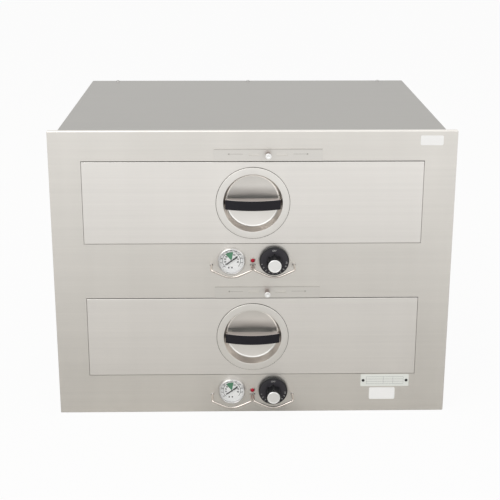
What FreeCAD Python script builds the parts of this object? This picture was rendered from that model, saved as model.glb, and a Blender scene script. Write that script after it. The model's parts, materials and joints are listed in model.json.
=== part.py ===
import FreeCAD, Part
import math
import os

# A built-in two-drawer food warmer. Millimetres, +Z up, +X to the right, the drawers
# open towards -Y. The origin is the middle of the face that the warmer rests on.

V = FreeCAD.Vector
ORIGIN = V(0, 0, 0)
X_AXIS = V(1, 0, 0)
Y_AXIS = V(0, 1, 0)
Z_AXIS = V(0, 0, 1)

# --- Front sheet: two drawer openings and the strips around them ---
opening_w = 632.0
opening_h = 160.0
side_strip = 58.5
top_strip = 56.5
middle_strip = 107.8
bottom_strip = 78.7
front_t = 1.5
flange_overlap = 10.0
flange_return = 10.0

# --- Casing ---
sheet_t = 1.2
casing_fold = 15.0
rear_space = 60.3
fixing_hole_r = 2.75
fixing_hole_inset = 30.0
fixing_hole_low_z = 120.0
fixing_hole_spacing = 320.0

# --- Heated cavities and their insulation ---
liner_t = 1.0
cavity_tail = 18.5
pad_t = 38.0
rear_pad_t = 25.0
pad_setback = 110.0
side_pad_setback = 60.0
pad_hole_r = 7.0

# --- Drawer front ---
drawer_gap = 1.2
face_t = 1.2
face_fold = 30.0
inner_panel_t = 1.0
face_pad_gap = 1.0

# --- Recessed handle ---
ring_r = 69.0
ring_rise = 2.5
ring_roll = 3.0
cup_mouth_r = 55.0
cup_floor_r = 50.5
cup_depth = 19.0
cup_t = 1.2
cup_clear = 0.3
cup_pad_clear = 3.0
grip_half_l = 51.3
grip_h = 16.5
grip_t = 9.0
grip_proud = 12.0
grip_end_proud = 1.5
grip_drop = 2.7
grip_edge_r = 1.5
grip_leg_w = 9.0
grip_leg_h = 11.0
grip_leg_inset = 5.0

# --- Drawer slides ---
travel = 420.0
track_t = 1.2
track_w = 14.0
track_inside_h = 27.0
track_rise = 120.0
track_gap = 3.0
roller_r = 11.0
roller_w = 8.0
roller_axle_r = 3.0
roller_inset = 13.0
roller_run_clear = 0.3
roller_lift = 0.5
roller_side_gap = 1.8
axle_fit = 0.05
axle_end = 1.0
stop_gap = 3.0
rail_t = 1.5
rail_clear = 0.5
rail_web_drop = 12.0
rail_tail = 8.0
rail_edge_gap = 1.8

# --- Drawer frame and food pan ---
frame_t = 1.5
frame_rise = 140.0
frame_lip = 25.0
pan_w = 530.0
pan_l = 381.0
pan_depth = 100.0
pan_t = 1.0
pan_rim = 10.0
pan_taper = 10.0
pan_corner_r = 28.0
pan_clear = 2.0
pan_margin = 10.0

# --- Heating element, on the cavity's floor ---
element_r = 4.0
element_rise = 20.0
element_half_w = 200.0
element_inner_half_w = 80.0
element_bend_r = 40.0
element_setback = 110.0
element_rear_gap = 80.0
element_stub = 30.0
element_foot_w = 10.0
element_foot_l = 4.0
hole_fit = 0.1

# --- Controls under each drawer ---
control_x = 40.0
control_drop = 31.7

case_r = 26.0
case_proud = 9.5
case_bevel = 1.5
case_floor = 2.5
case_wall = 1.6
case_lip = 0.8
barrel_r = 21.5
barrel_depth = 12.0
barrel_clear = 0.3
dial_t = 0.5
dial_hole_r = 1.3
dial_fit = 0.1
lens_t = 1.5
needle_gap = 1.2
needle_t = 0.6
needle_w = 1.6
needle_tip_l = 14.5
needle_tail_l = 12.5
needle_hub_r = 2.4
needle_shaft_r = 0.8
needle_shaft_fit = 0.05
needle_shaft_depth = 3.0
needle_rest_deg = 216.0

capillary_r = 1.5
capillary_bend_r = 6.0
capillary_setback = 45.0
capillary_clear = 0.5
bulb_r = 4.0
bulb_l = 80.0
bulb_setback = 60.0
bulb_rise = 8.0
bulb_foot_w = 6.0
bulb_foot_l = 10.0

stat_body = 36.0
stat_body_l = 26.0
stat_bush_r = 4.9
stat_bush_proud = 2.0
stat_bush_clear = 0.1
spindle_r = 3.0
spindle_proud = 22.0
spindle_fit = 0.05
spindle_end_gap = 0.5

skirt_r = 28.0
skirt_back = 3.5
skirt_front = 9.0
skirt_bevel = 1.8
skirt_rim = 2.5
skirt_plate = 3.0
knob_hub_r = 7.0
knob_grip_r = 12.6
knob_front = 35.0
knob_lobes = 7
knob_lobe_r = 2.4
knob_lobe_reach = 15.0
cap_r = 12.3
cap_t = 1.5

pilot_barrel_r = 4.0
pilot_barrel_l = 16.0
pilot_barrel_clear = 0.1
pilot_bezel_r = 5.0
pilot_bezel_t = 2.0
pilot_lens_r = 3.3
pilot_lens_proud = 5.0

guard_rod_r = 2.0
guard_half_w = 37.7
guard_proud = 30.0
guard_drop = 9.5
guard_dip = 17.0
guard_corner_r = 5.0
guard_belly_r = 36.0

# --- Sliding vent above each drawer ---
vent_w = 199.5
vent_h = 23.0
vent_t = 1.2
vent_x = 27.5
vent_edge_gap = 0.5
vent_slide_gap = 0.3
vent_slot_l = 21.0
vent_slot_h = 6.5
vent_slot_offset = 25.5
vent_slot_lift = 1.8
vent_port_l = 10.0
vent_port_gap = 0.5
vent_travel = 12.0
vent_stem_r = 3.2
vent_screw_r = 2.5
vent_screw_clear = 0.2
vent_stem_l = 14.5
vent_button_r = 5.5
vent_button_t = 5.0
vent_washer_r = 8.0
vent_washer_t = 1.5
vent_duct_half_w = 70.0
vent_duct_h = 26.0
vent_duct_l = 26.0

# --- Rating plate, on the bottom strip ---
plate_w = 94.0
plate_h = 25.0
plate_t = 0.8
plate_inset = 116.9
plate_gap = 0.6
rivet_r = 1.6
rivet_head_r = 2.2
rivet_head_t = 1.0
rivet_tail = 2.0
rivet_inset = 5.0

# --- Junction box behind the rear panel ---
box_w = 120.0
box_h = 70.0
box_l = 30.0
box_t = 1.0
box_inset = 163.3
box_z = 52.0
box_window_inset = 6.0
cover_margin = 8.0
terminal_w = 60.0
terminal_h = 20.0
terminal_l = 18.0
gland_hole_r = 8.0
gland_flange_r = 13.0
gland_flange_t = 3.0
gland_dome_r = 10.5
gland_dome_l = 13.0
gland_bore_r = 5.0
gland_sleeve_l = 10.0

# --- Screws that close the casing and the junction box ---
screw_r = 2.0
screw_head_r = 4.0
screw_head_t = 2.4
screw_l = 8.0
screw_fit = 0.05
screw_edge = 7.5
screw_inset = 60.0
cover_screw_inset = 4.0

# --- Sizes that follow from the ones above ---
flange_w = opening_w + 2 * side_strip
flange_h = bottom_strip + opening_h + middle_strip + opening_h + top_strip
drawer_back = face_fold + inner_panel_t
track_start = drawer_back + track_gap
front_roller = track_start + roller_inset
rear_roller = front_roller + 2 * roller_r + stop_gap + travel
cavity_back = rear_roller + roller_r + cavity_tail
depth = cavity_back + liner_t + rear_space + sheet_t
front_y = -depth / 2
rear_y = depth / 2
casing_w = flange_w - 2 * flange_overlap
casing_h = flange_h - flange_overlap
casing_half_in = casing_w / 2 - sheet_t
cavity_half_w = opening_w / 2
level_z = {"lower": bottom_strip, "upper": bottom_strip + opening_h + middle_strip}
plate_x = flange_w / 2 - plate_inset
plate_z = bottom_strip - plate_gap - plate_h / 2
box_x = box_inset - casing_half_in
vent_z_above = vent_edge_gap + vent_h / 2 + vent_slot_lift
rail_half_w = cavity_half_w - track_w - rail_clear - rail_t
rail_out = cavity_half_w - track_t - rail_edge_gap
junction_half_w = box_w / 2 + cover_margin
junction_half_h = box_h / 2 + cover_margin


def block(x, y, z):
    """A box that fills three (low, high) ranges."""
    return Part.makeBox(x[1] - x[0], y[1] - y[0], z[1] - z[0], V(x[0], y[0], z[0]))


def rod(radius, start, end):
    """A round bar from one point to another."""
    return Part.makeCylinder(radius, (end - start).Length, start, end - start)


def about(middle, half):
    """The range of one half-width each side of a middle."""
    return (middle - half, middle + half)


def behind(*distances):
    """Y places at distances behind the front sheet's face."""
    return tuple(front_y + distance for distance in distances)


def disc(radius, x, z, back, front):
    """A round bar along Y, between two heights in front of the front sheet's face."""
    return rod(radius, V(x, front_y - back, z), V(x, front_y - front, z))


def turned(x, z, profile):
    """A body of revolution about a Y axis, from (radius, height in front of the face)."""
    points = [V(radius, front_y - proud, 0) for radius, proud in profile]
    face = Part.Face(Part.makePolygon(points + points[:1]))
    solid = face.revolve(ORIGIN, Y_AXIS, 360)
    solid.translate(V(x, 0, z))
    return solid


def joined(solids):
    """One solid from several that overlap or touch."""
    return solids[0].multiFuse(solids[1:]).removeSplitter()


def pair(solid):
    """A solid and its mirror image on the other side of the warmer."""
    return [solid, solid.mirror(ORIGIN, X_AXIS)]


def bent_rod(radius, points, bends):
    """A round rod along straight runs that tangent arcs join."""
    edges = []
    start = points[0]
    for before, corner, after, bend in zip(points, points[1:], points[2:], bends):
        into = (corner - before).normalize()
        out = (after - corner).normalize()
        half_turn = into.getAngle(out) / 2
        tangent = bend * math.tan(half_turn)
        inward = (out - into).normalize()
        middle = corner + inward * (bend / math.cos(half_turn) - bend)
        arc_start = corner - into * tangent
        arc_end = corner + out * tangent
        edges.append(Part.LineSegment(start, arc_start).toShape())
        edges.append(Part.Arc(arc_start, middle, arc_end).toShape())
        start = arc_end
    edges.append(Part.LineSegment(start, points[-1]).toShape())
    section = Part.Wire(Part.makeCircle(radius, points[0], points[1] - points[0]))
    return Part.Wire(edges).makePipeShell([section], True, True)


def slot(half_l, half_h, x, z, back, front):
    """A flat-ended bar with round sides, along Y: the shape of a slotted hole."""
    straight = half_l - half_h
    middle = block(about(x, straight), (front_y - front, front_y - back), about(z, half_h))
    ends = [disc(half_h, x + side * straight, z, back, front) for side in (-1, 1)]
    return joined([middle] + ends)


def rounded_wire(half_x, half_y, corner, y_middle, z):
    """A rectangle with round corners, level at height z."""
    edges = []
    corners = [(1, 1, 0), (-1, 1, 90), (-1, -1, 180), (1, -1, 270)]
    for side_x, side_y, angle in corners:
        centre = V(side_x * (half_x - corner), y_middle + side_y * (half_y - corner), z)
        edges.append(Part.makeCircle(corner, centre, Z_AXIS, angle, angle + 90))
    arcs = list(edges)
    for arc, following in zip(arcs, arcs[1:] + arcs[:1]):
        start = arc.Vertexes[-1].Point
        edges.append(Part.LineSegment(start, following.Vertexes[0].Point).toShape())
    return Part.Wire(Part.__sortEdges__(edges))


def export(node, solids):
    """Writes one node's solids to its STEP file."""
    shape = solids[0] if len(solids) == 1 else Part.makeCompound(solids)
    shape.exportStep(f"parts/{node}.step")


def frame_window(z):
    """The drawer's opening through the front sheet."""
    return block(about(0, cavity_half_w), behind(0, front_t), (z, z + opening_h))


def control_holes(z):
    """The holes through the front sheet for one level's controls and vent."""
    control_z = z - control_drop
    vent_z = z + opening_h + vent_z_above
    port_shift = vent_slot_l / 2 + vent_port_gap + vent_port_l / 2
    ports = []
    for side in (-1, 1):
        x = vent_x + side * vent_slot_offset + port_shift
        ports.append(slot(vent_port_l / 2, vent_slot_h / 2, x, vent_z, -front_t, 0))
    screw_h = vent_screw_r + vent_screw_clear
    screw_x = vent_x + vent_travel / 2
    return ports + [
        disc(barrel_r + barrel_clear, -control_x, control_z, -front_t, 0),
        disc(stat_bush_r + stat_bush_clear, control_x, control_z, -front_t, 0),
        disc(pilot_barrel_r + pilot_barrel_clear, 0, control_z, -front_t, 0),
        slot(vent_travel / 2 + screw_h, screw_h, screw_x, vent_z, -front_t, 0),
    ]


def rivet_places():
    """Where the rating plate's two rivets are, along X."""
    return [plate_x + side * (plate_w / 2 - rivet_inset) for side in (-1, 1)]


def make_front_frame():
    """The front sheet: a trim flange folded back at its edges."""
    half_w = flange_w / 2
    sheet = block(about(0, half_w), behind(0, front_t), (0, flange_h))
    fold = behind(front_t, flange_return)
    top_fold = block(about(0, half_w), fold, (flange_h - front_t, flange_h))
    side_fold = block((half_w - front_t, half_w), fold, (0, flange_h - front_t))
    bottom_fold = block(about(0, casing_half_in), fold, (0, front_t))
    body = joined([sheet, top_fold, bottom_fold] + pair(side_fold))
    holes = [disc(rivet_r + screw_fit, x, plate_z, -front_t, 0) for x in rivet_places()]
    for z in level_z.values():
        holes.append(frame_window(z))
        holes.extend(control_holes(z))
    return [body.cut(holes)]


def casing_screw_places():
    """Points on the casing where screws enter, each with the way they point."""
    y = rear_y - screw_edge
    places = []
    for z in (screw_inset, casing_h / 2, casing_h - screw_inset):
        places.append((V(casing_w / 2, y, z), -X_AXIS))
        places.append((V(-casing_w / 2, y, z), X_AXIS))
    for x in (-(casing_w / 2 - screw_inset), 0, casing_w / 2 - screw_inset):
        places.append((V(x, y, casing_h), -Z_AXIS))
    return places


def cover_screw_places():
    """Points on the junction box's cover where its screws enter."""
    half_w = junction_half_w - cover_screw_inset
    half_h = junction_half_h - cover_screw_inset
    face_y = rear_y + sheet_t
    return [
        (V(box_x + side * half_w, face_y, box_z + rise * half_h), -Y_AXIS)
        for side in (-1, 1)
        for rise in (-1, 1)
    ]


def screw_holes(places):
    """The clearance holes that a set of screws needs."""
    return [rod(screw_r + screw_fit, at, at + way * screw_l) for at, way in places]


def make_casing_screws():
    """Every pan-head screw: around the rear panel and on the junction box's cover."""
    screws = []
    for at, way in casing_screw_places() + cover_screw_places():
        shank = rod(screw_r, at, at + way * screw_l)
        head = rod(screw_head_r, at - way * screw_head_t, at)
        screws.append(joined([shank, head]))
    return screws


def fixing_holes():
    """Two holes in each side of the casing, close behind the flange."""
    y = front_y + fixing_hole_inset
    holes = []
    for z in (fixing_hole_low_z, fixing_hole_low_z + fixing_hole_spacing):
        reach = V(casing_w / 2 + sheet_t, y, z)
        holes.append(rod(fixing_hole_r, V(-reach.x, y, z), reach))
    return holes


def make_casing_wrap():
    """The casing's top and two sides, one folded sheet."""
    y = (front_y + front_t, rear_y)
    outside = block(about(0, casing_w / 2), y, (0, casing_h))
    inside = block(about(0, casing_half_in), y, (0, casing_h - sheet_t))
    holes = screw_holes(casing_screw_places()) + fixing_holes()
    return [outside.cut([inside] + holes)]


def make_base_panel():
    """The floor of the casing, with folds that stand inside its walls."""
    y = (front_y + flange_return, rear_y - sheet_t)
    floor = block(about(0, casing_half_in), y, (0, sheet_t))
    fold = block((casing_half_in - sheet_t, casing_half_in), y, (sheet_t, casing_fold))
    return [joined([floor] + pair(fold))]


def junction_window():
    """The opening through the rear panel into the junction box."""
    half_w = box_w / 2 - box_window_inset
    half_h = box_h / 2 - box_window_inset
    return block(about(box_x, half_w), (rear_y - sheet_t, rear_y), about(box_z, half_h))


def make_rear_panel():
    """The casing's back, with folds inside the wrap that its screws go through."""
    top = casing_h - sheet_t
    sheet_y = (rear_y - sheet_t, rear_y)
    fold_y = (rear_y - casing_fold, rear_y - sheet_t)
    sheet = block(about(0, casing_half_in), sheet_y, (0, top))
    top_fold = block(about(0, casing_half_in), fold_y, (top - sheet_t, top))
    side_z = (casing_fold + sheet_t, top - sheet_t)
    side_fold = block((casing_half_in - sheet_t, casing_half_in), fold_y, side_z)
    body = joined([sheet, top_fold] + pair(side_fold))
    holes = screw_holes(casing_screw_places()) + screw_holes(cover_screw_places())
    return [body.cut([junction_window()] + holes)]


def make_junction_box():
    """An open steel box inside the rear panel."""
    wall_y = rear_y - sheet_t
    outside_y = (wall_y - box_l, wall_y)
    outside = block(about(box_x, box_w / 2), outside_y, about(box_z, box_h / 2))
    inside_y = (wall_y - box_l + box_t, wall_y)
    half_w = box_w / 2 - box_t
    half_h = box_h / 2 - box_t
    return [outside.cut(block(about(box_x, half_w), inside_y, about(box_z, half_h)))]


def make_junction_box_cover():
    """The plate outside the rear panel that closes the junction box."""
    y = (rear_y, rear_y + sheet_t)
    plate = block(about(box_x, junction_half_w), y, about(box_z, junction_half_h))
    hole = rod(gland_hole_r, V(box_x, y[0], box_z), V(box_x, y[1], box_z))
    return [plate.cut([hole] + screw_holes(cover_screw_places()))]


def make_cord_gland():
    """The gland where the supply wiring enters, in the cover."""
    face_y = rear_y + sheet_t
    flange_y = face_y + gland_flange_t
    dome_y = flange_y + gland_dome_l
    sleeve_y = face_y - gland_sleeve_l
    flange = rod(gland_flange_r, V(box_x, face_y, box_z), V(box_x, flange_y, box_z))
    dome = rod(gland_dome_r, V(box_x, flange_y, box_z), V(box_x, dome_y, box_z))
    sleeve = rod(gland_hole_r, V(box_x, sleeve_y, box_z), V(box_x, face_y, box_z))
    bore = rod(gland_bore_r, V(box_x, sleeve_y, box_z), V(box_x, dome_y, box_z))
    return [joined([flange, dome, sleeve]).cut(bore)]


def make_terminal_block():
    """The terminal block on the floor of the junction box."""
    floor_y = rear_y - sheet_t - box_l + box_t
    low_z = box_z - box_h / 2 + box_t
    y = (floor_y, floor_y + terminal_l)
    return [block(about(box_x, terminal_w / 2), y, (low_z, low_z + terminal_h))]


def make_rating_plate():
    """A bare plate and its two rivets."""
    y = (front_y - plate_t, front_y)
    plate = block(about(plate_x, plate_w / 2), y, about(plate_z, plate_h / 2))
    rivets = []
    for x in rivet_places():
        plate = plate.cut(disc(rivet_r, x, plate_z, 0, plate_t))
        shank = disc(rivet_r, x, plate_z, -front_t - rivet_tail, plate_t)
        head = disc(rivet_head_r, x, plate_z, plate_t, plate_t + rivet_head_t)
        rivets.append(joined([shank, head]))
    return [plate] + rivets


def element_ends():
    """Where the element leaves through the cavity's back, along X."""
    return (-element_half_w, element_half_w)


def make_cavity_liner(z):
    """The heated cavity: a box open to the front, with a duct to the vent."""
    x_out = about(0, cavity_half_w + liner_t)
    z_out = (z - liner_t, z + opening_h + liner_t)
    body = block(x_out, behind(front_t, cavity_back + liner_t), z_out)
    duct_x = about(vent_x + vent_travel / 2, vent_duct_half_w)
    duct_out_x = (duct_x[0] - liner_t, duct_x[1] + liner_t)
    duct_out_z = (z + opening_h, z + opening_h + vent_duct_h + liner_t)
    duct = block(duct_out_x, behind(front_t, vent_duct_l + liner_t), duct_out_z)
    inside_z = (z, z + opening_h)
    inside = block(about(0, cavity_half_w), behind(front_t, cavity_back), inside_z)
    duct_z = (z, z + opening_h + vent_duct_h)
    duct_inside = block(duct_x, behind(front_t, vent_duct_l), duct_z)
    holes = [inside, duct_inside]
    for x in (-control_x, control_x):
        y = front_y + capillary_setback
        holes.append(rod(capillary_r + capillary_clear, V(x, y, z - liner_t), V(x, y, z)))
    for x in element_ends():
        wall = disc(element_r + hole_fit, x, z + element_rise, -cavity_back - liner_t, -cavity_back)
        holes.append(wall)
    return [joined([body, duct]).cut(holes)]


def make_insulation(z):
    """Mineral-wool pads around one cavity."""
    x_in = cavity_half_w + liner_t
    low_z = z - liner_t
    high_z = z + opening_h + liner_t
    back = cavity_back + liner_t
    side_y = behind(side_pad_setback, back)
    pads = pair(block((x_in, x_in + pad_t), side_y, (low_z, high_z)))
    flat_y = behind(pad_setback, back)
    pads.append(block(about(0, x_in), flat_y, (low_z - pad_t, low_z)))
    pads.append(block(about(0, x_in), flat_y, (high_z, high_z + pad_t)))
    rear_pad = block(about(0, x_in), behind(back, back + rear_pad_t), (low_z, high_z))
    for x in element_ends():
        hole = disc(pad_hole_r, x, z + element_rise, -back - rear_pad_t, -back)
        rear_pad = rear_pad.cut(hole)
    pads.append(rear_pad)
    return pads


def make_drawer_tracks(z):
    """Channels on the cavity's side walls, each with the stub for its front roller."""
    wall = cavity_half_w
    middle = z + track_rise
    half_in = track_inside_h / 2
    half_out = half_in + track_t
    y = behind(track_start, cavity_back)
    outside = block((wall - track_w, wall), y, about(middle, half_out))
    hollow = block((wall - track_w, wall - track_t), y, about(middle, half_in))
    axle_z = middle - half_in + roller_lift + roller_r
    axle_y = front_y + front_roller
    axle_reach = roller_side_gap + roller_w + axle_end
    web = wall - track_t
    axle = rod(roller_axle_r, V(web - axle_reach, axle_y, axle_z), V(web, axle_y, axle_z))
    return pair(joined([outside.cut(hollow), axle]))


def roller(x_low, y, z):
    """A roller with its bore along X."""
    body = rod(roller_r, V(x_low, y, z), V(x_low + roller_w, y, z))
    bore = rod(roller_axle_r + axle_fit, V(x_low, y, z), V(x_low + roller_w, y, z))
    return body.cut(bore)


def make_front_rollers(z):
    """The fixed pair of rollers, which carry the drawer's rails."""
    low_x = cavity_half_w - track_t - roller_side_gap - roller_w
    roller_z = z + track_rise - track_inside_h / 2 + roller_lift + roller_r
    return pair(roller(low_x, front_y + front_roller, roller_z))


def make_rear_rollers(z):
    """The pair of rollers on the drawer, which run along the channels."""
    low_x = rail_half_w + rail_t + roller_side_gap
    roller_z = z + track_rise - track_inside_h / 2 + roller_run_clear + roller_r
    return pair(roller(low_x, front_y + rear_roller, roller_z))


def make_drawer_rails(z):
    """Angle rails that ride on the front rollers, with stubs for the rear ones."""
    middle = z + track_rise
    roller_top = middle - track_inside_h / 2 + roller_lift + 2 * roller_r
    flange_z = roller_top + roller_run_clear
    y = behind(drawer_back, rear_roller + rail_tail)
    web_z = (middle - rail_web_drop, flange_z + rail_t)
    web = block((rail_half_w, rail_half_w + rail_t), y, web_z)
    flange = block((rail_half_w, rail_out), y, (flange_z, flange_z + rail_t))
    axle_y = front_y + rear_roller
    axle_z = middle - track_inside_h / 2 + roller_run_clear + roller_r
    axle_x = rail_half_w + rail_t
    axle_reach = axle_x + roller_side_gap + roller_w + axle_end
    axle = rod(roller_axle_r, V(axle_x, axle_y, axle_z), V(axle_reach, axle_y, axle_z))
    return pair(joined([web, flange, axle]))


def pan_middle_y():
    """The middle of the pan's length, with the drawer closed."""
    return front_y + drawer_back + pan_margin + pan_l / 2


def make_drawer_frame(z):
    """A folded ring that hangs between the rails and carries the food pan."""
    half_w = rail_half_w
    y = behind(drawer_back, drawer_back + pan_l + 2 * pan_margin)
    top = z + frame_rise
    outside = block(about(0, half_w), y, (top - frame_t - frame_lip, top))
    inside_y = (y[0] + frame_t, y[1] - frame_t)
    inside_z = (top - frame_t - frame_lip, top - frame_t)
    inside = block(about(0, half_w - frame_t), inside_y, inside_z)
    half_x = pan_w / 2 - pan_rim + pan_clear
    half_y = pan_l / 2 - pan_rim + pan_clear
    corner = pan_corner_r + pan_clear
    mouth = Part.Face(rounded_wire(half_x, half_y, corner, pan_middle_y(), top - frame_t))
    return [outside.cut([inside, mouth.extrude(V(0, 0, frame_t))])]


def pan_shell(half_x, half_y, corner, low_z, high_z):
    """A tapered body with round corners, wider at its top."""
    y = pan_middle_y()
    low = rounded_wire(half_x - pan_taper, half_y - pan_taper, corner, y, low_z)
    high = rounded_wire(half_x, half_y, corner, y, high_z)
    return Part.makeLoft([low, high], True, True)


def make_food_pan(z):
    """A deep food pan that hangs in the drawer's frame by its rim."""
    top = z + frame_rise
    half_x = pan_w / 2 - pan_rim
    half_y = pan_l / 2 - pan_rim
    outside = pan_shell(half_x, half_y, pan_corner_r, top - pan_depth, top)
    inner_corner = pan_corner_r - pan_t
    inside = pan_shell(half_x - pan_t, half_y - pan_t, inner_corner, top - pan_depth + pan_t, top)
    rim_corner = pan_corner_r + pan_rim
    y = pan_middle_y()
    rim = Part.Face(rounded_wire(pan_w / 2, pan_l / 2, rim_corner, y, top)).extrude(V(0, 0, pan_t))
    mouth_wire = rounded_wire(half_x - pan_t, half_y - pan_t, inner_corner, y, top)
    mouth = Part.Face(mouth_wire).extrude(V(0, 0, pan_t))
    return [joined([outside, rim]).cut([inside, mouth])]


def handle_z(z):
    """The middle of one drawer's handle ring."""
    return z + opening_h / 2


def make_drawer_face(z):
    """The drawer's folded front sheet, with a round hole for the handle's cup."""
    half_w = cavity_half_w - drawer_gap
    z_out = (z + drawer_gap, z + opening_h - drawer_gap)
    outside = block(about(0, half_w), behind(0, face_fold), z_out)
    z_in = (z_out[0] + face_t, z_out[1] - face_t)
    inside = block(about(0, half_w - face_t), behind(face_t, face_fold), z_in)
    hole = disc(cup_mouth_r + cup_t + cup_clear, 0, handle_z(z), -face_t, 0)
    return [outside.cut([inside, hole])]


def make_drawer_inner_panel(z):
    """The sheet that closes the drawer front on the heated side."""
    half_w = cavity_half_w - drawer_gap
    y = behind(face_fold, drawer_back)
    return [block(about(0, half_w), y, (z + drawer_gap, z + opening_h - drawer_gap))]


def make_drawer_insulation(z):
    """The pad inside the drawer front, cut out around the handle's cup."""
    inset = drawer_gap + face_t + face_pad_gap
    y = behind(face_t, face_fold)
    pad = block(about(0, cavity_half_w - inset), y, (z + inset, z + opening_h - inset))
    hole_r = cup_mouth_r + cup_t + cup_pad_clear
    return [pad.cut(disc(hole_r, 0, handle_z(z), -face_fold, -face_t))]


def make_handle_grip(z):
    """A bowed bar across the mouth of the cup."""
    rise = grip_proud - grip_end_proud
    bow_r = (grip_half_l ** 2 + rise ** 2) / (2 * rise)
    centre = V(0, front_y - grip_proud + bow_r, handle_z(z) - grip_drop - grip_h / 2)
    ring = Part.makeCylinder(bow_r, grip_h, centre)
    ring = ring.cut(Part.makeCylinder(bow_r - grip_t, grip_h, centre))
    span_y = (front_y - grip_proud, front_y + cup_depth)
    span = block(about(0, grip_half_l), span_y, about(handle_z(z) - grip_drop, grip_h / 2))
    bar = ring.common(span)
    return [bar.makeFillet(grip_edge_r, bar.Edges)]


def make_handle_cup(z):
    """A pressed ring and round recess, with two legs that carry the grip."""
    rolled = ring_r - ring_roll
    profile = [
        (0, -cup_depth),
        (cup_floor_r, -cup_depth),
        (cup_mouth_r, 0),
        (cup_mouth_r + cup_t, ring_rise),
        (rolled, ring_rise),
        (ring_r, 0),
        (cup_mouth_r + cup_t, 0),
        (cup_floor_r + cup_t, -cup_depth - cup_t),
        (0, -cup_depth - cup_t),
    ]
    cup = turned(0, handle_z(z), profile)
    leg_x = about(grip_half_l - grip_leg_inset - grip_leg_w / 2, grip_leg_w / 2)
    leg_z = about(handle_z(z) - grip_drop, grip_leg_h / 2)
    legs = pair(block(leg_x, behind(0, cup_depth), leg_z))
    return [joined([cup] + legs).cut(make_handle_grip(z))]


def capillary(x, z, start):
    """A capillary tube from behind a control up through the cavity's floor to its bulb."""
    bulb_z = z + bulb_rise
    bend_y = front_y + capillary_setback
    bulb_y = front_y + bulb_setback
    points = [
        V(x, front_y + start, z - control_drop),
        V(x, bend_y, z - control_drop),
        V(x, bend_y, bulb_z),
        V(x, bulb_y + bulb_r, bulb_z),
    ]
    tube = bent_rod(capillary_r, points, [capillary_bend_r, capillary_bend_r])
    bulb = rod(bulb_r, V(x, bulb_y, bulb_z), V(x, bulb_y + bulb_l, bulb_z))
    foot_y = about(bulb_y + bulb_l / 2, bulb_foot_l / 2)
    foot = block(about(x, bulb_foot_w / 2), foot_y, (z, bulb_z))
    return joined([bulb, foot, tube])


def make_heating_element(z):
    """A sheathed element bent to and fro above the cavity's floor, on four feet."""
    level = z + element_rise
    front = front_y + element_setback
    back = front_y + cavity_back - element_rear_gap
    end = front_y + cavity_back + liner_t + element_stub
    outer = element_half_w
    inner = element_inner_half_w
    route = [
        (-outer, end), (-outer, front), (-inner, front), (-inner, back),
        (inner, back), (inner, front), (outer, front), (outer, end),
    ]
    points = [V(x, y, level) for x, y in route]
    tube = bent_rod(element_r, points, [element_bend_r] * (len(points) - 2))
    feet = []
    for x in (-outer, -inner, inner, outer):
        foot_y = about((front + back) / 2, element_foot_l / 2)
        feet.append(block(about(x, element_foot_w / 2), foot_y, (z, level)))
    return [joined([tube] + feet)]


def make_thermometer_case(z):
    """The thermometer's cup and bezel, with its barrel, capillary and bulb."""
    control_z = z - control_drop
    inner_r = case_r - case_wall
    profile = [
        (0, -barrel_depth),
        (barrel_r, -barrel_depth),
        (barrel_r, 0),
        (case_r, 0),
        (case_r, case_proud - case_bevel),
        (case_r - case_bevel, case_proud),
        (inner_r - case_lip, case_proud),
        (inner_r - case_lip, case_proud - case_lip),
        (inner_r, case_proud - case_lip),
        (inner_r, case_floor),
        (0, case_floor),
    ]
    case = turned(-control_x, control_z, profile)
    bore_r = needle_shaft_r + needle_shaft_fit
    bore = disc(bore_r, -control_x, control_z, case_floor - needle_shaft_depth, case_floor)
    return [joined([case, capillary(-control_x, z, barrel_depth)]).cut(bore)]


def make_thermometer_dial(z):
    """The dial plate on the floor of the case."""
    control_z = z - control_drop
    top = case_floor + dial_t
    plate = disc(case_r - case_wall - dial_fit, -control_x, control_z, case_floor, top)
    return [plate.cut(disc(dial_hole_r, -control_x, control_z, case_floor, top))]


def make_thermometer_lens(z):
    """The glass, held behind the bezel's lip."""
    front = case_proud - case_lip
    lens_r = case_r - case_wall - dial_fit
    return [disc(lens_r, -control_x, z - control_drop, front - lens_t, front)]


def make_thermometer_needle(z):
    """A pointer with a counterweight tail, on a shaft in the case's bore."""
    control_z = z - control_drop
    back = case_floor + dial_t + needle_gap
    front = back + needle_t
    end = case_floor - needle_shaft_depth + needle_gap
    shaft = disc(needle_shaft_r, -control_x, control_z, end, back)
    hub = disc(needle_hub_r, -control_x, control_z, back, front)
    span = (-control_x - needle_tail_l, -control_x + needle_tip_l)
    blade = block(span, (front_y - front, front_y - back), about(control_z, needle_w / 2))
    blade.rotate(V(-control_x, 0, control_z), -Y_AXIS, needle_rest_deg)
    return [joined([shaft, hub, blade])]


def make_thermostat(z):
    """The thermostat behind the front sheet: body, bush, spindle, capillary and bulb."""
    control_z = z - control_drop
    body_y = behind(front_t, front_t + stat_body_l)
    body = block(about(control_x, stat_body / 2), body_y, about(control_z, stat_body / 2))
    bush = disc(stat_bush_r, control_x, control_z, -front_t, stat_bush_proud)
    spindle = disc(spindle_r, control_x, control_z, stat_bush_proud, spindle_proud)
    return [joined([body, bush, spindle, capillary(control_x, z, front_t + stat_body_l)])]


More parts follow.
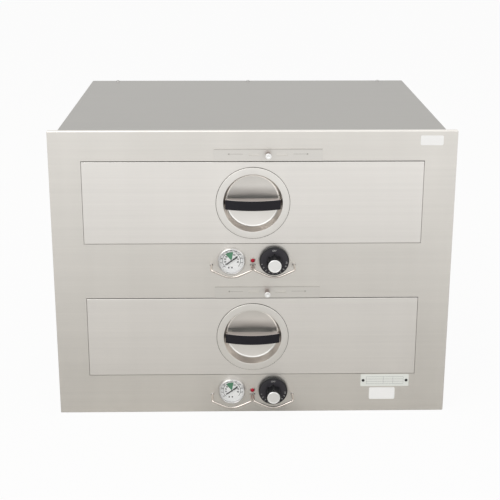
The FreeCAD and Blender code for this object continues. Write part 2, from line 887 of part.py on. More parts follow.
def make_thermostat_knob(z):
    """The knob: a skirt for the marks and a lobed grip, bored for the spindle."""
    control_z = z - control_drop
    bore_end = spindle_proud + spindle_end_gap
    profile = [
        (0, skirt_back),
        (knob_hub_r, skirt_back),
        (knob_hub_r, skirt_front - skirt_plate),
        (skirt_r - skirt_rim, skirt_front - skirt_plate),
        (skirt_r - skirt_rim, skirt_back),
        (skirt_r, skirt_back),
        (skirt_r, skirt_front - skirt_bevel),
        (skirt_r - skirt_bevel, skirt_front),
        (knob_grip_r, skirt_front),
        (knob_grip_r, knob_front),
        (0, knob_front),
    ]
    knob = [turned(control_x, control_z, profile)]
    reach = knob_lobe_reach - knob_lobe_r
    for lobe in range(knob_lobes):
        angle = math.radians(90 + lobe * 360 / knob_lobes)
        x = control_x + reach * math.cos(angle)
        lobe_z = control_z + reach * math.sin(angle)
        knob.append(disc(knob_lobe_r, x, lobe_z, skirt_front, knob_front - cap_t))
    bore = disc(spindle_r + spindle_fit, control_x, control_z, skirt_back, bore_end)
    return [joined(knob).cut(bore)]


def make_knob_cap(z):
    """The bright disc on the knob's end."""
    return [disc(cap_r, control_x, z - control_drop, knob_front, knob_front + cap_t)]


def make_pilot_lamp(z):
    """The pilot lamp: barrel, bezel and domed lens."""
    control_z = z - control_drop
    barrel = disc(pilot_barrel_r, 0, control_z, -pilot_barrel_l, 0)
    bezel = disc(pilot_bezel_r, 0, control_z, 0, pilot_bezel_t)
    dome_back = pilot_lens_proud - pilot_lens_r
    lens = disc(pilot_lens_r, 0, control_z, pilot_bezel_t - dome_back, pilot_bezel_t)
    dome = Part.makeSphere(pilot_lens_r, V(0, front_y - dome_back, control_z))
    return [joined([barrel, bezel, lens, dome])]


def make_control_guards(z):
    """A bent rod in front of each control, welded to the front sheet."""
    guards = []
    rail_y = front_y - guard_proud
    for x in (-control_x, control_x):
        leg_z = z - control_drop - guard_drop
        points = [
            V(x - guard_half_w, front_y, leg_z),
            V(x - guard_half_w, rail_y, leg_z),
            V(x, rail_y, leg_z - guard_dip),
            V(x + guard_half_w, rail_y, leg_z),
            V(x + guard_half_w, front_y, leg_z),
        ]
        bends = [guard_corner_r, guard_belly_r, guard_corner_r]
        guards.append(bent_rod(guard_rod_r, points, bends))
    return guards


def make_vent_plate(z):
    """The sliding plate with the vent's slots."""
    low_z = z + opening_h + vent_edge_gap
    y = (front_y - vent_slide_gap - vent_t, front_y - vent_slide_gap)
    plate = block(about(vent_x, vent_w / 2), y, (low_z, low_z + vent_h))
    vent_z = z + opening_h + vent_z_above
    top = vent_slide_gap + vent_t
    holes = [disc(vent_screw_r, vent_x, vent_z, vent_slide_gap, top)]
    for side in (-1, 1):
        x = vent_x + side * vent_slot_offset
        holes.append(slot(vent_slot_l / 2, vent_slot_h / 2, x, vent_z, vent_slide_gap, top))
    return [plate.cut(holes)]


def make_vent_knob(z):
    """The vent's thumb knob: its screw runs in the front sheet's slot to a washer."""
    vent_z = z + opening_h + vent_z_above
    face = vent_slide_gap + vent_t
    washer_front = -front_t - vent_slide_gap
    washer_back = washer_front - vent_washer_t
    stem_end = face + vent_stem_l
    button_end = stem_end + vent_button_t
    return [joined([
        disc(vent_washer_r, vent_x, vent_z, washer_back, washer_front),
        disc(vent_screw_r, vent_x, vent_z, washer_front, face),
        disc(vent_stem_r, vent_x, vent_z, face, stem_end),
        disc(vent_button_r, vent_x, vent_z, stem_end, button_end),
    ])]


single_nodes = {
    "casing_wrap": make_casing_wrap,
    "base_panel": make_base_panel,
    "rear_panel": make_rear_panel,
    "front_frame": make_front_frame,
    "casing_screws": make_casing_screws,
    "junction_box": make_junction_box,
    "junction_box_cover": make_junction_box_cover,
    "cord_gland": make_cord_gland,
    "terminal_block": make_terminal_block,
    "rating_plate": make_rating_plate,
}

level_nodes = {
    "cavity_liner": make_cavity_liner,
    "insulation": make_insulation,
    "drawer_tracks": make_drawer_tracks,
    "front_rollers": make_front_rollers,
    "rear_rollers": make_rear_rollers,
    "drawer_rails": make_drawer_rails,
    "drawer_frame": make_drawer_frame,
    "food_pan": make_food_pan,
    "drawer_face": make_drawer_face,
    "drawer_inner_panel": make_drawer_inner_panel,
    "drawer_insulation": make_drawer_insulation,
    "handle_cup": make_handle_cup,
    "handle_grip": make_handle_grip,
    "heating_element": make_heating_element,
    "thermometer_case": make_thermometer_case,
    "thermometer_dial": make_thermometer_dial,
    "thermometer_lens": make_thermometer_lens,
    "thermometer_needle": make_thermometer_needle,
    "thermostat": make_thermostat,
    "thermostat_knob": make_thermostat_knob,
    "knob_cap": make_knob_cap,
    "pilot_lamp": make_pilot_lamp,
    "control_guards": make_control_guards,
    "vent_plate": make_vent_plate,
    "vent_knob": make_vent_knob,
}

os.makedirs("parts", exist_ok=True)
for node, make in single_nodes.items():
    export(node, make())
for level, z in level_z.items():
    for node, make in level_nodes.items():
        export(f"{level}_{node}", make(z))
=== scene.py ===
"""Looks of a built-in two-drawer food warmer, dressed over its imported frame.

Lengths are in metres. The warmer faces -Y, and +X is to the right as it is seen.
"""

import json
import logging
import math
from collections.abc import Callable, Iterator
from contextlib import contextmanager
from dataclasses import dataclass, field
from enum import Enum

import bmesh
import bpy
from mathutils import Matrix, Vector

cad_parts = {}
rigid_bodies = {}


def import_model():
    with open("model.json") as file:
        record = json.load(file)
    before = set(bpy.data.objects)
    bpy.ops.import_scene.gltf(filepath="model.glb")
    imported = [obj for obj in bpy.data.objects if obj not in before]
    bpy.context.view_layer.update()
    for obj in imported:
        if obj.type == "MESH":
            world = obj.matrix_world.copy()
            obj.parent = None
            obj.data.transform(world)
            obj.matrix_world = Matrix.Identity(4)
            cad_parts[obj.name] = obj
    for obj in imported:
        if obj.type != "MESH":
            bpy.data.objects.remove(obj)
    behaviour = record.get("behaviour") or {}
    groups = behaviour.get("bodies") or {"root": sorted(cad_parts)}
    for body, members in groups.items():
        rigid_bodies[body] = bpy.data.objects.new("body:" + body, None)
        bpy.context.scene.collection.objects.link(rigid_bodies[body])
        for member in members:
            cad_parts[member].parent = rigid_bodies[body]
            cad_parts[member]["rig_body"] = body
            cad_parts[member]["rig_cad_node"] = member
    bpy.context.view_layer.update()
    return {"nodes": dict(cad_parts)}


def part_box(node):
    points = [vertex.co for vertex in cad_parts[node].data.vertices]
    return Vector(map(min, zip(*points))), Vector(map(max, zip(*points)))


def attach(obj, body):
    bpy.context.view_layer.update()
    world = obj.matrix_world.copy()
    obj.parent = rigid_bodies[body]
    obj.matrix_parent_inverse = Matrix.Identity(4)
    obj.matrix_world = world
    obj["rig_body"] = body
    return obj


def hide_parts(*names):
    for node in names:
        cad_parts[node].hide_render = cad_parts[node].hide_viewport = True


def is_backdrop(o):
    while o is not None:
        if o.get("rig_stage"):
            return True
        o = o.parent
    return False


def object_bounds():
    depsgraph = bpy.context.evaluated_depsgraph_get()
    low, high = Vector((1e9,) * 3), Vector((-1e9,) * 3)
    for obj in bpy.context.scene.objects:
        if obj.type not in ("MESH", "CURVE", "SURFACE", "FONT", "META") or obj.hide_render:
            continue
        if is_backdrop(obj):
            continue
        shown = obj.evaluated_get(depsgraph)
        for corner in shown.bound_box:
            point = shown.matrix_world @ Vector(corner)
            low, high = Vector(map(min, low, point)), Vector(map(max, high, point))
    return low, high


LOG = logging.getLogger("food_warmer")
LEVELS = ("lower", "upper")
MERGE = 1e-6  # points nearer to each other than this become one
SEED = 0.001  # size of a primitive that only starts a shape
FACING = 0.9  # least share along an axis of a normal or an edge that follows it
SQUARE = 60.0  # least angle in degrees of an edge that stands nearly square
FLAT = 0.4  # greatest angle in degrees between faces that are one flat face
INK = 0.00003  # how far lettering and etching stand out of their surface
CAPITAL = 1.4  # a font's size over the height of its capitals

Point = tuple[float, float, float]
Colour = tuple[float, float, float]
Profile = list[tuple[float, float]]
Piece = bpy.types.Object
Material = bpy.types.Material
WHITE: Colour = (1.0, 1.0, 1.0)


class Axis(Enum):
    """An axis of the warmer's frame."""

    X = Vector((1, 0, 0))
    Y = Vector((0, 1, 0))
    Z = Vector((0, 0, 1))


# ---- Shader expressions ----


class Wire:
    """An output socket of a shader node, which can be added, multiplied and so on."""

    def __init__(self, graph: "Graph", socket: bpy.types.NodeSocket) -> None:
        """Keeps the node tree that the socket belongs to, and the socket."""
        self.graph = graph
        self.socket = socket

    def __add__(self, other: "Wire | float") -> "Wire":
        """Sum of two values."""
        return self.graph.math("ADD", self, other)

    def __radd__(self, other: float) -> "Wire":
        """Sum of two values, with the number first."""
        return self.graph.math("ADD", other, self)

    def __sub__(self, other: "Wire | float") -> "Wire":
        """Difference of two values."""
        return self.graph.math("SUBTRACT", self, other)

    def __rsub__(self, other: float) -> "Wire":
        """Difference of two values, with the number first."""
        return self.graph.math("SUBTRACT", other, self)

    def __mul__(self, other: "Wire | float") -> "Wire":
        """Product of two values."""
        return self.graph.math("MULTIPLY", self, other)

    def __rmul__(self, other: float) -> "Wire":
        """Product of two values, with the number first."""
        return self.graph.math("MULTIPLY", other, self)

    def __gt__(self, other: "Wire | float") -> "Wire":
        """1 where the value is above the other, and 0 elsewhere."""
        return self.graph.math("GREATER_THAN", self, other)


Value = Wire | float


class Holder(Enum):
    """What a node tree belongs to, and so the node that it ends in."""

    MATERIAL = "OutputMaterial"
    WORLD = "OutputWorld"


class Graph:
    """The node tree of one material or world, built from expressions."""

    def __init__(self, name: str, holder: Holder = Holder.MATERIAL) -> None:
        """Starts an empty tree.

        Args:
            name: the name of its material or world.
            holder: which of the two it belongs to.
        """
        library = bpy.data.worlds if holder is Holder.WORLD else bpy.data.materials
        self.owner = library.new(name)
        self.owner.use_nodes = True
        self.tree = self.owner.node_tree
        self.tree.nodes.clear()
        self.ending = holder.value

    def node(
        self,
        kind: str,
        sockets: dict[str | int, "Value | Colour | Point"] | None = None,
        out: str | int = 0,
        stops: list[tuple[float, Colour]] | None = None,
        **settings: str | float | bool,
    ) -> Wire:
        """Adds one node.

        Args:
            kind: the node's type without its ShaderNode prefix.
            sockets: values or links of its input sockets.
            out: the output that is returned.
            stops: a colour ramp's places and colours.
            **settings: the node's own settings, which are set before its sockets.

        Returns:
            The chosen output.
        """
        made = self.tree.nodes.new("ShaderNode" + kind)
        for name, value in settings.items():
            setattr(made, name, value)
        if stops:
            ramp = made.color_ramp
            while len(ramp.elements) < len(stops):
                ramp.elements.new(1.0)
            for element, (place, colour) in zip(ramp.elements, stops):
                element.position = place
                element.color = (*colour, 1.0)
        for name, value in (sockets or {}).items():
            entry = made.inputs[name]
            if isinstance(value, Wire):
                self.tree.links.new(value.socket, entry)
            elif isinstance(value, tuple) and entry.type == "RGBA":
                entry.default_value = (*value, 1.0)
            else:
                entry.default_value = value
        return Wire(self, made.outputs[out])

    def math(self, operation: str, a: Value, b: Value) -> Wire:
        """One Math node on numbers."""
        return self.node("Math", {0: a, 1: b}, operation=operation)

    def mix(self, factor: Value, a: "Wire | Colour", b: "Wire | Colour") -> Wire:
        """A colour between two others."""
        sockets = {0: factor, 6: a, 7: b}
        return self.node("Mix", sockets, out=2, data_type="RGBA", clamp_factor=True)

    def tint(self, colour: "Wire | Colour", amount: Wire) -> Wire:
        """Makes a colour lighter or darker.

        Args:
            colour: the colour.
            amount: the grey value that it is multiplied by.

        Returns:
            The product.
        """
        grey = self.node("CombineColor", {0: amount, 1: amount, 2: amount})
        sockets = {0: 1.0, 6: colour, 7: grey}
        return self.node("Mix", sockets, out=2, data_type="RGBA", blend_type="MULTIPLY")

    def place(self, scale: Point = (1, 1, 1), centre: Point = (0, 0, 0)) -> Wire:
        """Object coordinates about a centre.

        Args:
            scale: what each coordinate is multiplied by.
            centre: the point that has none.

        Returns:
            The coordinates.
        """
        here = self.node("TexCoord", out="Object")
        offset = tuple(-c * s for c, s in zip(centre, scale))
        return self.node("Mapping", {"Vector": here, "Location": offset, "Scale": scale})

    def noise(self, where: Wire, detail: float = 2.0, roughness: float = 0.5) -> Wire:
        """Fractal noise from 0 to 1, about 0.5, one unit of the coordinates wide."""
        sockets = {"Vector": where, "Scale": 1.0, "Detail": detail, "Roughness": roughness}
        return self.node("TexNoise", sockets, out="Fac")

    def speckle(self, density: float, detail: float = 2.0, roughness: float = 0.5) -> Wire:
        """Fractal noise with as many lumps to the metre along every axis."""
        return self.noise(self.place((density,) * 3), detail, roughness)

    def ramp(self, value: Wire, start: float, end: float, first: float, last: float) -> Wire:
        """A smooth step between two numbers.

        Args:
            value: what the step follows.
            start: the value at which it starts.
            end: the value at which it ends.
            first: the number at its start.
            last: the number at its end.

        Returns:
            The number.
        """
        source = {"Value": value, "From Min": start, "From Max": end}
        target = {"To Min": first, "To Max": last}
        return self.node("MapRange", source | target, interpolation_type="SMOOTHSTEP")

    def bump(self, height: Wire, distance: float) -> Wire:
        """A normal tilted by a height from 0 to 1 over a distance in metres."""
        sockets = {"Height": height, "Distance": distance, "Strength": 1.0}
        return self.node("Bump", sockets, out="Normal")

    def ray(self, kind: str) -> Wire:
        """1 on rays of a kind, such as Camera, and 0 on others."""
        return self.node("LightPath", out=f"Is {kind} Ray")

    def surface(self, sockets: dict[str | int, "Value | Colour"]) -> Material:
        """Ends the tree in a Principled shader with these sockets."""
        return self.close(self.node("BsdfPrincipled", sockets))

    def close(self, shader: Wire) -> Material | bpy.types.World:
        """Ends the tree.

        Args:
            shader: the output that is shown.

        Returns:
            The tree's material or world.
        """
        output = self.tree.nodes.new("ShaderNode" + self.ending)
        self.tree.links.new(shader.socket, output.inputs["Surface"])
        return self.owner


# ---- Finishes ----


class Grain(Enum):
    """The way that a brushed sheet's scratches run."""

    ALONG_X = (1, 0, 0)
    ALONG_Y = (0, 1, 0)


@dataclass(frozen=True)
class BrushedSteel:
    """Stainless sheet brushed in one direction."""

    name: str
    colour: Colour = (0.70, 0.685, 0.66)
    grain: Grain = Grain.ALONG_X
    roughness: float = 0.41
    scratch_length: float = 0.16
    scratch_width: float = 0.0007
    band_length: float = 1.2
    band_width: float = 0.007
    cloud_size: float = 0.22
    smudge: float = 0.0
    smudge_density: Point = (14, 14, 1.6)
    depth: float = 0.000012

    def stretched(self, graph: Graph, length: float, width: float, detail: float) -> Wire:
        """Noise that is long along the grain and short across it."""
        scale = tuple(1 / (length if along else width) for along in self.grain.value)
        return graph.noise(graph.place(scale), detail)

    def make(self) -> Material:
        """Builds the material: scratches, wider bands, clouds and wiped smudges.

        Returns:
            The material.
        """
        graph = Graph(self.name)
        fine = self.stretched(graph, self.scratch_length, self.scratch_width, 3.0)
        bands = self.stretched(graph, self.band_length, self.band_width, 2.0)
        cloud = graph.speckle(1 / self.cloud_size)
        wiped = graph.noise(graph.place(self.smudge_density), 3.0)
        light = 0.90 + 0.09 * fine + 0.07 * bands + 0.05 * cloud + self.smudge * (wiped - 0.5)
        return graph.surface({
            "Base Color": graph.tint(self.colour, light),
            "Metallic": 1.0,
            "Roughness": self.roughness - 0.06 + 0.10 * fine + 0.04 * cloud,
            "Normal": graph.bump(fine, self.depth),
        })


@dataclass(frozen=True)
class PolishedMetal:
    """Bright plated or polished metal with faint handling marks."""

    name: str
    colour: Colour = (0.83, 0.82, 0.81)
    roughness: float = 0.12
    smear_size: float = 0.012

    def make(self) -> Material:
        """Builds the material.

        Returns:
            The material.
        """
        graph = Graph(self.name)
        smear = graph.speckle(1 / self.smear_size, 4.0, 0.6)
        return graph.surface({
            "Base Color": graph.tint(self.colour, 0.94 + 0.08 * smear),
            "Metallic": 1.0,
            "Roughness": self.roughness - 0.04 + 0.10 * smear,
        })


@dataclass(frozen=True)
class MouldedPlastic:
    """Moulded plastic with a fine spark-eroded texture."""

    name: str
    colour: Colour
    roughness: float = 0.5
    texture_size: float = 0.0006
    wear_density: float = 60
    depth: float = 0.00004
    sheen: float = 0.35

    def make(self) -> Material:
        """Builds the material.

        Returns:
            The material.
        """
        graph = Graph(self.name)
        texture = graph.speckle(1 / self.texture_size)
        wear = graph.speckle(self.wear_density, 3.0)
        return graph.surface({
            "Base Color": graph.tint(self.colour, 0.85 + 0.30 * wear),
            "Roughness": self.roughness - 0.08 + 0.16 * wear,
            "Specular IOR Level": self.sheen,
            "Normal": graph.bump(texture, self.depth),
        })


@dataclass(frozen=True)
class Enamel:
    """Printed or enamelled paint: nearly even, with faint mottling."""

    name: str
    colour: Colour
    roughness: float = 0.4
    mottle_density: float = 900

    def make(self) -> Material:
        """Builds the material.

        Returns:
            The material.
        """
        graph = Graph(self.name)
        mottle = graph.speckle(self.mottle_density, 3.0)
        return graph.surface({
            "Base Color": graph.tint(self.colour, 0.96 + 0.06 * mottle),
            "Roughness": self.roughness - 0.05 + 0.1 * mottle,
        })


@dataclass(frozen=True)
class Glow:
    """Tinted clear plastic over a lamp."""

    name: str
    colour: Colour
    strength: float
    facet_density: float = 700

    def make(self) -> Material:
        """Builds the material, with facets that glow unevenly.

        Returns:
            The material.
        """
        graph = Graph(self.name)
        facets = graph.speckle(self.facet_density, 1.0)
        return graph.surface({
            "Base Color": graph.tint(self.colour, 0.8 + 0.4 * facets),
            "Roughness": 0.20 + 0.08 * facets,
            "Specular IOR Level": 0.3,
            "Emission Color": graph.tint(self.colour, 0.6 + 0.8 * facets),
            "Emission Strength": self.strength,
        })


@dataclass(frozen=True)
class ThinGlass:
    """Flat clear glass that keeps what lies behind it readable."""

    name: str
    alpha: float = 0.03
    colour: Colour = (0.92, 0.95, 0.95)
    dust_density: float = 260

    def make(self) -> Material:
        """Builds the material, with faint dust.

        Returns:
            The material.
        """
        graph = Graph(self.name)
        dust = graph.speckle(self.dust_density, 4.0)
        return graph.surface({
            "Base Color": self.colour,
            "Roughness": 0.02 + 0.05 * dust,
            "Alpha": self.alpha * 0.7 + self.alpha * 0.6 * dust,
        })


@dataclass(frozen=True)
class HeaterSheath:
    """Heat-browned steel tube."""

    name: str
    stain_density: float = 14
    stains: tuple[tuple[float, Colour], ...] = (
        (0.35, (0.09, 0.08, 0.075)),
        (0.55, (0.16, 0.12, 0.08)),
        (0.7, (0.09, 0.10, 0.13)),
    )
    scale_density: float = 1500
    depth: float = 0.00003

    def make(self) -> Material:
        """Builds the material: dark grey with straw and blue heat stains.

        Returns:
            The material.
        """
        graph = Graph(self.name)
        stain_and_painted_shade = graph.speckle(self.stain_density, 3.0)
        scale = graph.speckle(self.scale_density)
        return graph.surface({
            "Base Color": graph.node("ValToRGB", {"Fac": stain_and_painted_shade}, stops=self.stains),
            "Metallic": 0.8,
            "Roughness": 0.42 + 0.2 * scale,
            "Normal": graph.bump(scale, self.depth),
        })


@dataclass(frozen=True)
class MineralWool:
    """Pressed mineral fibre."""

    name: str
    dark: Colour = (0.42, 0.36, 0.22)
    light: Colour = (0.80, 0.74, 0.55)
    lengthwise: float = 60
    crosswise: float = 900
    depth: float = 0.0012

    def make(self) -> Material:
        """Builds the material: matted fibres in two directions.

        Returns:
            The material.
        """
        graph = Graph(self.name)
        sparse, dense = self.lengthwise, self.crosswise
        across = graph.noise(graph.place((sparse, dense, dense)), 4.0, 0.7)
        along = graph.noise(graph.place((dense, sparse, dense)), 4.0, 0.7)
        mat = across * 0.5 + along * 0.5
        return graph.surface({
            "Base Color": graph.mix(mat, self.dark, self.light),
            "Roughness": 0.9,
            "Normal": graph.bump(mat, self.depth),
        })


@dataclass(frozen=True)
class PlainPaper:
    """A blank paper or vinyl label."""

    name: str
    colour: Colour = (0.97, 0.97, 0.965)
    roughness: float = 0.55
    fibre_density: float = 1200
    depth: float = 0.00001

    def make(self) -> Material:
        """Builds the material with a faint fibre.

        Returns:
            The material.
        """
        graph = Graph(self.name)
        fibre = graph.speckle(self.fibre_density, 4.0)
        return graph.surface({
            "Base Color": graph.tint(self.colour, 0.95 + 0.08 * fibre),
            "Roughness": self.roughness,
            "Normal": graph.bump(fibre, self.depth),
        })


@dataclass(frozen=True)
class SpunSteel:
    """Sheet steel polished on a lathe, with rings about a Y axis through its centre."""

    name: str
    centre: Point
    colour: Colour = (0.775, 0.755, 0.72)
    # painted highlight: a brighter band of colour on the fillet
    fillet_highlight_colour: Colour = (0.93, 0.92, 0.89)
    wall_colour: Colour = (0.80, 0.73, 0.67)
    ring_colour: Colour = (0.80, 0.78, 0.745)
    bands: tuple[float, float, float] = (0.0474, 0.0503, 0.0552)
    # painted shade: the steel is darkened in a band just above the grip, between the middle two
    # heights, where the grip's dark reflection falls
    stain_and_painted_shade: float = 0.60
    grip_shade_heights: tuple[float, float, float, float] = (0.002, 0.011, 0.0155, 0.032)
    # painted shade: the wall's colour darkens towards its upper part over wall_heights
    wall_shade: float = 0.38
    wall_heights: tuple[float, float] = (-0.024, 0.006)
    roughness: float = 0.36
    ring_width: float = 0.0012
    cloud_density: float = 30
    depth: float = 0.00001

    def make(self) -> Material:
        """Builds the material: fine rings, bands of finish with a painted highlight on the fillet
        and painted shade on the wall's upper part, and painted shade in a band just above the grip,
        where the grip's dark reflection falls.

        Returns:
            The material.
        """
        graph = Graph(self.name)
        # Painted shade in a band just above the grip, standing for the grip's dark reflection.
        low, start, end, high = self.grip_shade_heights
        height = graph.node("SeparateXYZ", {"Vector": graph.place((1, 1, 1), self.centre)}, out="Z")
        below = graph.ramp(height, start, low, self.stain_and_painted_shade, 1.0)
        above = graph.ramp(height, end, high, self.stain_and_painted_shade, 1.0)
        colour = graph.tint(self.colour, graph.math("MAXIMUM", below, above))
        # Painted shade: the wall darkens towards its upper part, where it reflects dark things.
        painted_wall_shade = graph.ramp(height, *self.wall_heights, 1.0, self.wall_shade)
        wall = graph.tint(self.wall_colour, painted_wall_shade)
        flat = graph.place((1, 0, 1), self.centre)
        length = graph.node("VectorMath", {0: flat}, out="Value", operation="LENGTH")
        along = graph.node("CombineXYZ", {"X": length * (1 / self.ring_width)})
        rings = graph.noise(along, 3.0)
        cloud = graph.speckle(self.cloud_density)
        # The fillet's band is a brighter colour, a painted highlight.
        for radius, band in zip(self.bands, (self.fillet_highlight_colour, wall, self.ring_colour)):
            colour = graph.mix(length > radius, colour, band)
        return graph.surface({
            "Base Color": graph.tint(colour, 0.88 + 0.14 * rings + 0.08 * cloud),
            "Metallic": 1.0,
            "Roughness": self.roughness - 0.05 + 0.10 * rings + 0.04 * cloud,
            "Normal": graph.bump(rings, self.depth),
        })


class Palette:
    """Every finish of the warmer, each made once."""

    def __init__(self) -> None:
        """Builds the materials."""
        self.front = BrushedSteel("front_steel", colour=(0.712, 0.689, 0.650), smudge=0.11).make()
        self.drawer = BrushedSteel("drawer_steel", colour=(0.78, 0.757, 0.724), smudge=0.08).make()
        self.vent = BrushedSteel("vent_steel", colour=(0.685, 0.665, 0.63)).make()
        # Dark grey: painted shade, so that the casing's top and sides stay as dark as the shade
        # they fall in.
        self.casing = BrushedSteel(
            "casing_steel",
            colour=(0.35, 0.34, 0.32),
            roughness=0.42,
            scratch_width=0.0012,
            cloud_size=0.12,
        ).make()
        self.liner = BrushedSteel(
            "liner_steel", colour=(0.52, 0.51, 0.49), grain=Grain.ALONG_Y, roughness=0.34
        ).make()
        self.pan = BrushedSteel(
            "pan_steel",
            colour=(0.64, 0.635, 0.62),
            roughness=0.36,
            scratch_length=0.05,
            cloud_size=0.06,
        ).make()
        self.slide = BrushedSteel(
            "slide_steel",
            colour=(0.56, 0.56, 0.57),
            grain=Grain.ALONG_Y,
            roughness=0.38,
            cloud_size=0.03,
        ).make()
        self.chrome = PolishedMetal("bezel_chrome", colour=(0.62, 0.61, 0.60), roughness=0.3).make()
        self.flange = PolishedMetal(
            "grip_flange", colour=(0.62, 0.565, 0.535), roughness=0.34
        ).make()
        self.pilot_rim = PolishedMetal("pilot_rim", colour=(0.42, 0.39, 0.36), roughness=0.3).make()
        self.rod = PolishedMetal("guard_rod", colour=(0.61, 0.56, 0.515), roughness=0.18).make()
        self.stem = PolishedMetal("stem_steel", colour=(0.26, 0.21, 0.19), roughness=0.35).make()
        self.satin = PolishedMetal("satin_cap", colour=(0.92, 0.92, 0.91), roughness=0.36).make()
        self.screw = PolishedMetal("screw_steel", colour=(0.42, 0.41, 0.40), roughness=0.38).make()
        self.leg = PolishedMetal("grip_leg", colour=(0.66, 0.62, 0.58), roughness=0.24).make()
        self.plate = Enamel("aluminium_plate", (0.83, 0.85, 0.81), roughness=0.45).make()
        self.grip = MouldedPlastic(
            "grip_plastic", (0.009, 0.008, 0.012), roughness=0.45, sheen=0.25
        ).make()
        # A dark ring round the handle's ring: painted shadow line.
        self.shadow_ring = MouldedPlastic("gasket_rubber", (0.07, 0.063, 0.056), roughness=0.6).make()
        self.knob = MouldedPlastic("knob_plastic", (0.009, 0.009, 0.010), roughness=0.36).make()
        # Lighter than the knob: painted sheen on the skirt's face, which carries the printed
        # numbers.
        self.knob_dial = MouldedPlastic("knob_dial", (0.036, 0.034, 0.040), roughness=0.42).make()
        self.gland = MouldedPlastic("gland_plastic", (0.02, 0.02, 0.02)).make()
        self.roller = MouldedPlastic("white_plastic", (0.70, 0.69, 0.65), roughness=0.42).make()
        self.dial = Enamel("dial_enamel", (0.96, 0.965, 0.965), roughness=0.35).make()
        self.ink = Enamel("dial_ink", (0.025, 0.025, 0.03)).make()
        self.grey_ink = Enamel("grey_ink", (0.30, 0.31, 0.32)).make()
        # Also the dark line along the vent plate's top edge, which is painted shadow.
        self.etch_and_shadow_line = Enamel("etched_steel", (0.40, 0.38, 0.35)).make()
        self.green = Enamel("safe_zone", (0.045, 0.24, 0.115)).make()
        self.white_mark = Enamel("knob_mark", (0.60, 0.60, 0.58)).make()
        self.needle = Enamel("needle_paint", (0.02, 0.02, 0.022)).make()
        self.rivet = MouldedPlastic("dark_rivet", (0.015, 0.015, 0.016), roughness=0.3).make()
        self.paper = PlainPaper("label_paper").make()
        self.lens = ThinGlass("lens_glass").make()
        self.lamp = Glow("pilot_red", (0.36, 0.0, 0.018), 0.10).make()
        self.element = HeaterSheath("element_steel").make()
        self.wool = MineralWool("mineral_wool").make()


# ---- Bench work ----


def activate(piece: Piece) -> None:
    """Selects one object alone and makes it active.

    Args:
        piece: the object.
    """
    bpy.ops.object.select_all(action="DESELECT")
    piece.select_set(True)
    bpy.context.view_layer.objects.active = piece


@contextmanager
def editing(piece: Piece, element: str = "FACE") -> Iterator[bmesh.types.BMesh]:
    """Edit mode on one object, with nothing selected at first.

    Args:
        piece: the object.
        element: VERT, EDGE or FACE.

    Yields:
        The mesh that is edited.
    """
    activate(piece)
    bpy.ops.object.mode_set(mode="EDIT")
    bpy.ops.mesh.select_mode(type=element)
    bpy.ops.mesh.select_all(action="DESELECT")
    yield bmesh.from_edit_mesh(piece.data)
    bpy.ops.object.mode_set(mode="OBJECT")


def pick(
    mesh: bmesh.types.BMesh,
    members: bmesh.types.BMFaceSeq | bmesh.types.BMEdgeSeq | bmesh.types.BMVertSeq,
    wanted: Callable[[object], bool],
) -> None:
    """Selects the faces, edges or vertices that pass a test.

    Args:
        mesh: the mesh that is edited.
        members: its faces, edges or vertices.
        wanted: the test.
    """
    for member in members:
        if wanted(member):
            member.select_set(True)
    mesh.select_flush_mode()


def apply_modifiers(piece: Piece) -> None:
    """Applies each of an object's modifiers in turn.

    Args:
        piece: the object.
    """
    activate(piece)
    for modifier in list(piece.modifiers):
        bpy.ops.object.modifier_apply(modifier=modifier.name)


def settle(piece: Piece) -> None:
    """Moves an object's place, turn and scale into its mesh."""
    activate(piece)
    bpy.ops.object.transform_apply(location=True, rotation=True, scale=True)


def shade(piece: Piece, degrees: float = 32.0) -> Piece:
    """Shades an object smooth, apart from sharp edges, and keeps its large faces flat.

    Args:
        piece: the object.
        degrees: the least angle of an edge that is shaded sharp.

    Returns:
        The object.
    """
    activate(piece)
    bpy.ops.object.shade_smooth_by_angle(angle=math.radians(degrees))
    weighted = piece.modifiers.new("weighted", "WEIGHTED_NORMAL")
    weighted.keep_sharp = True
    apply_modifiers(piece)
    return piece


def block(low: Vector, high: Vector) -> Piece:
    """A new box, with its place in its mesh.

    Args:
        low: its lowest corner.
        high: its highest corner.

    Returns:
        The new object.
    """
    bpy.ops.object.select_all(action="DESELECT")
    size = high - low
    bpy.ops.mesh.primitive_cube_add(size=1, location=(low + high) / 2, scale=size)
    piece = bpy.context.active_object
    settle(piece)
    return piece


def cylinder(radius: float, back: Vector, front: Vector, sides: int = 48) -> Piece:
    """A new round bar, with its place in its mesh.

    Args:
        radius: its radius.
        back: the middle of one end.
        front: the middle of the other.
        sides: faces round it.

    Returns:
        The new object.
    """
    bpy.ops.object.select_all(action="DESELECT")
    way = front - back
    bpy.ops.mesh.primitive_cylinder_add(
        vertices=sides,
        radius=radius,
        depth=way.length,
        location=(back + front) / 2,
        rotation=way.to_track_quat("Z", "Y").to_euler(),
    )
    piece = bpy.context.active_object
    settle(piece)
    return piece


def round_edges(
    piece: Piece, width: float, segments: int = 2, degrees: float = 35.0
) -> Piece:
    """Rounds an object's sharp edges.

    Args:
        piece: the object.
        width: how far each round reaches from its edge.
        segments: faces across each round.
        degrees: the least angle of an edge that is rounded.

    Returns:
        The object.
    """
    modifier = piece.modifiers.new("round", "BEVEL")
    modifier.width = width
    modifier.segments = segments
    modifier.limit_method = "ANGLE"
    modifier.angle_limit = math.radians(degrees)
    apply_modifiers(piece)
    return piece


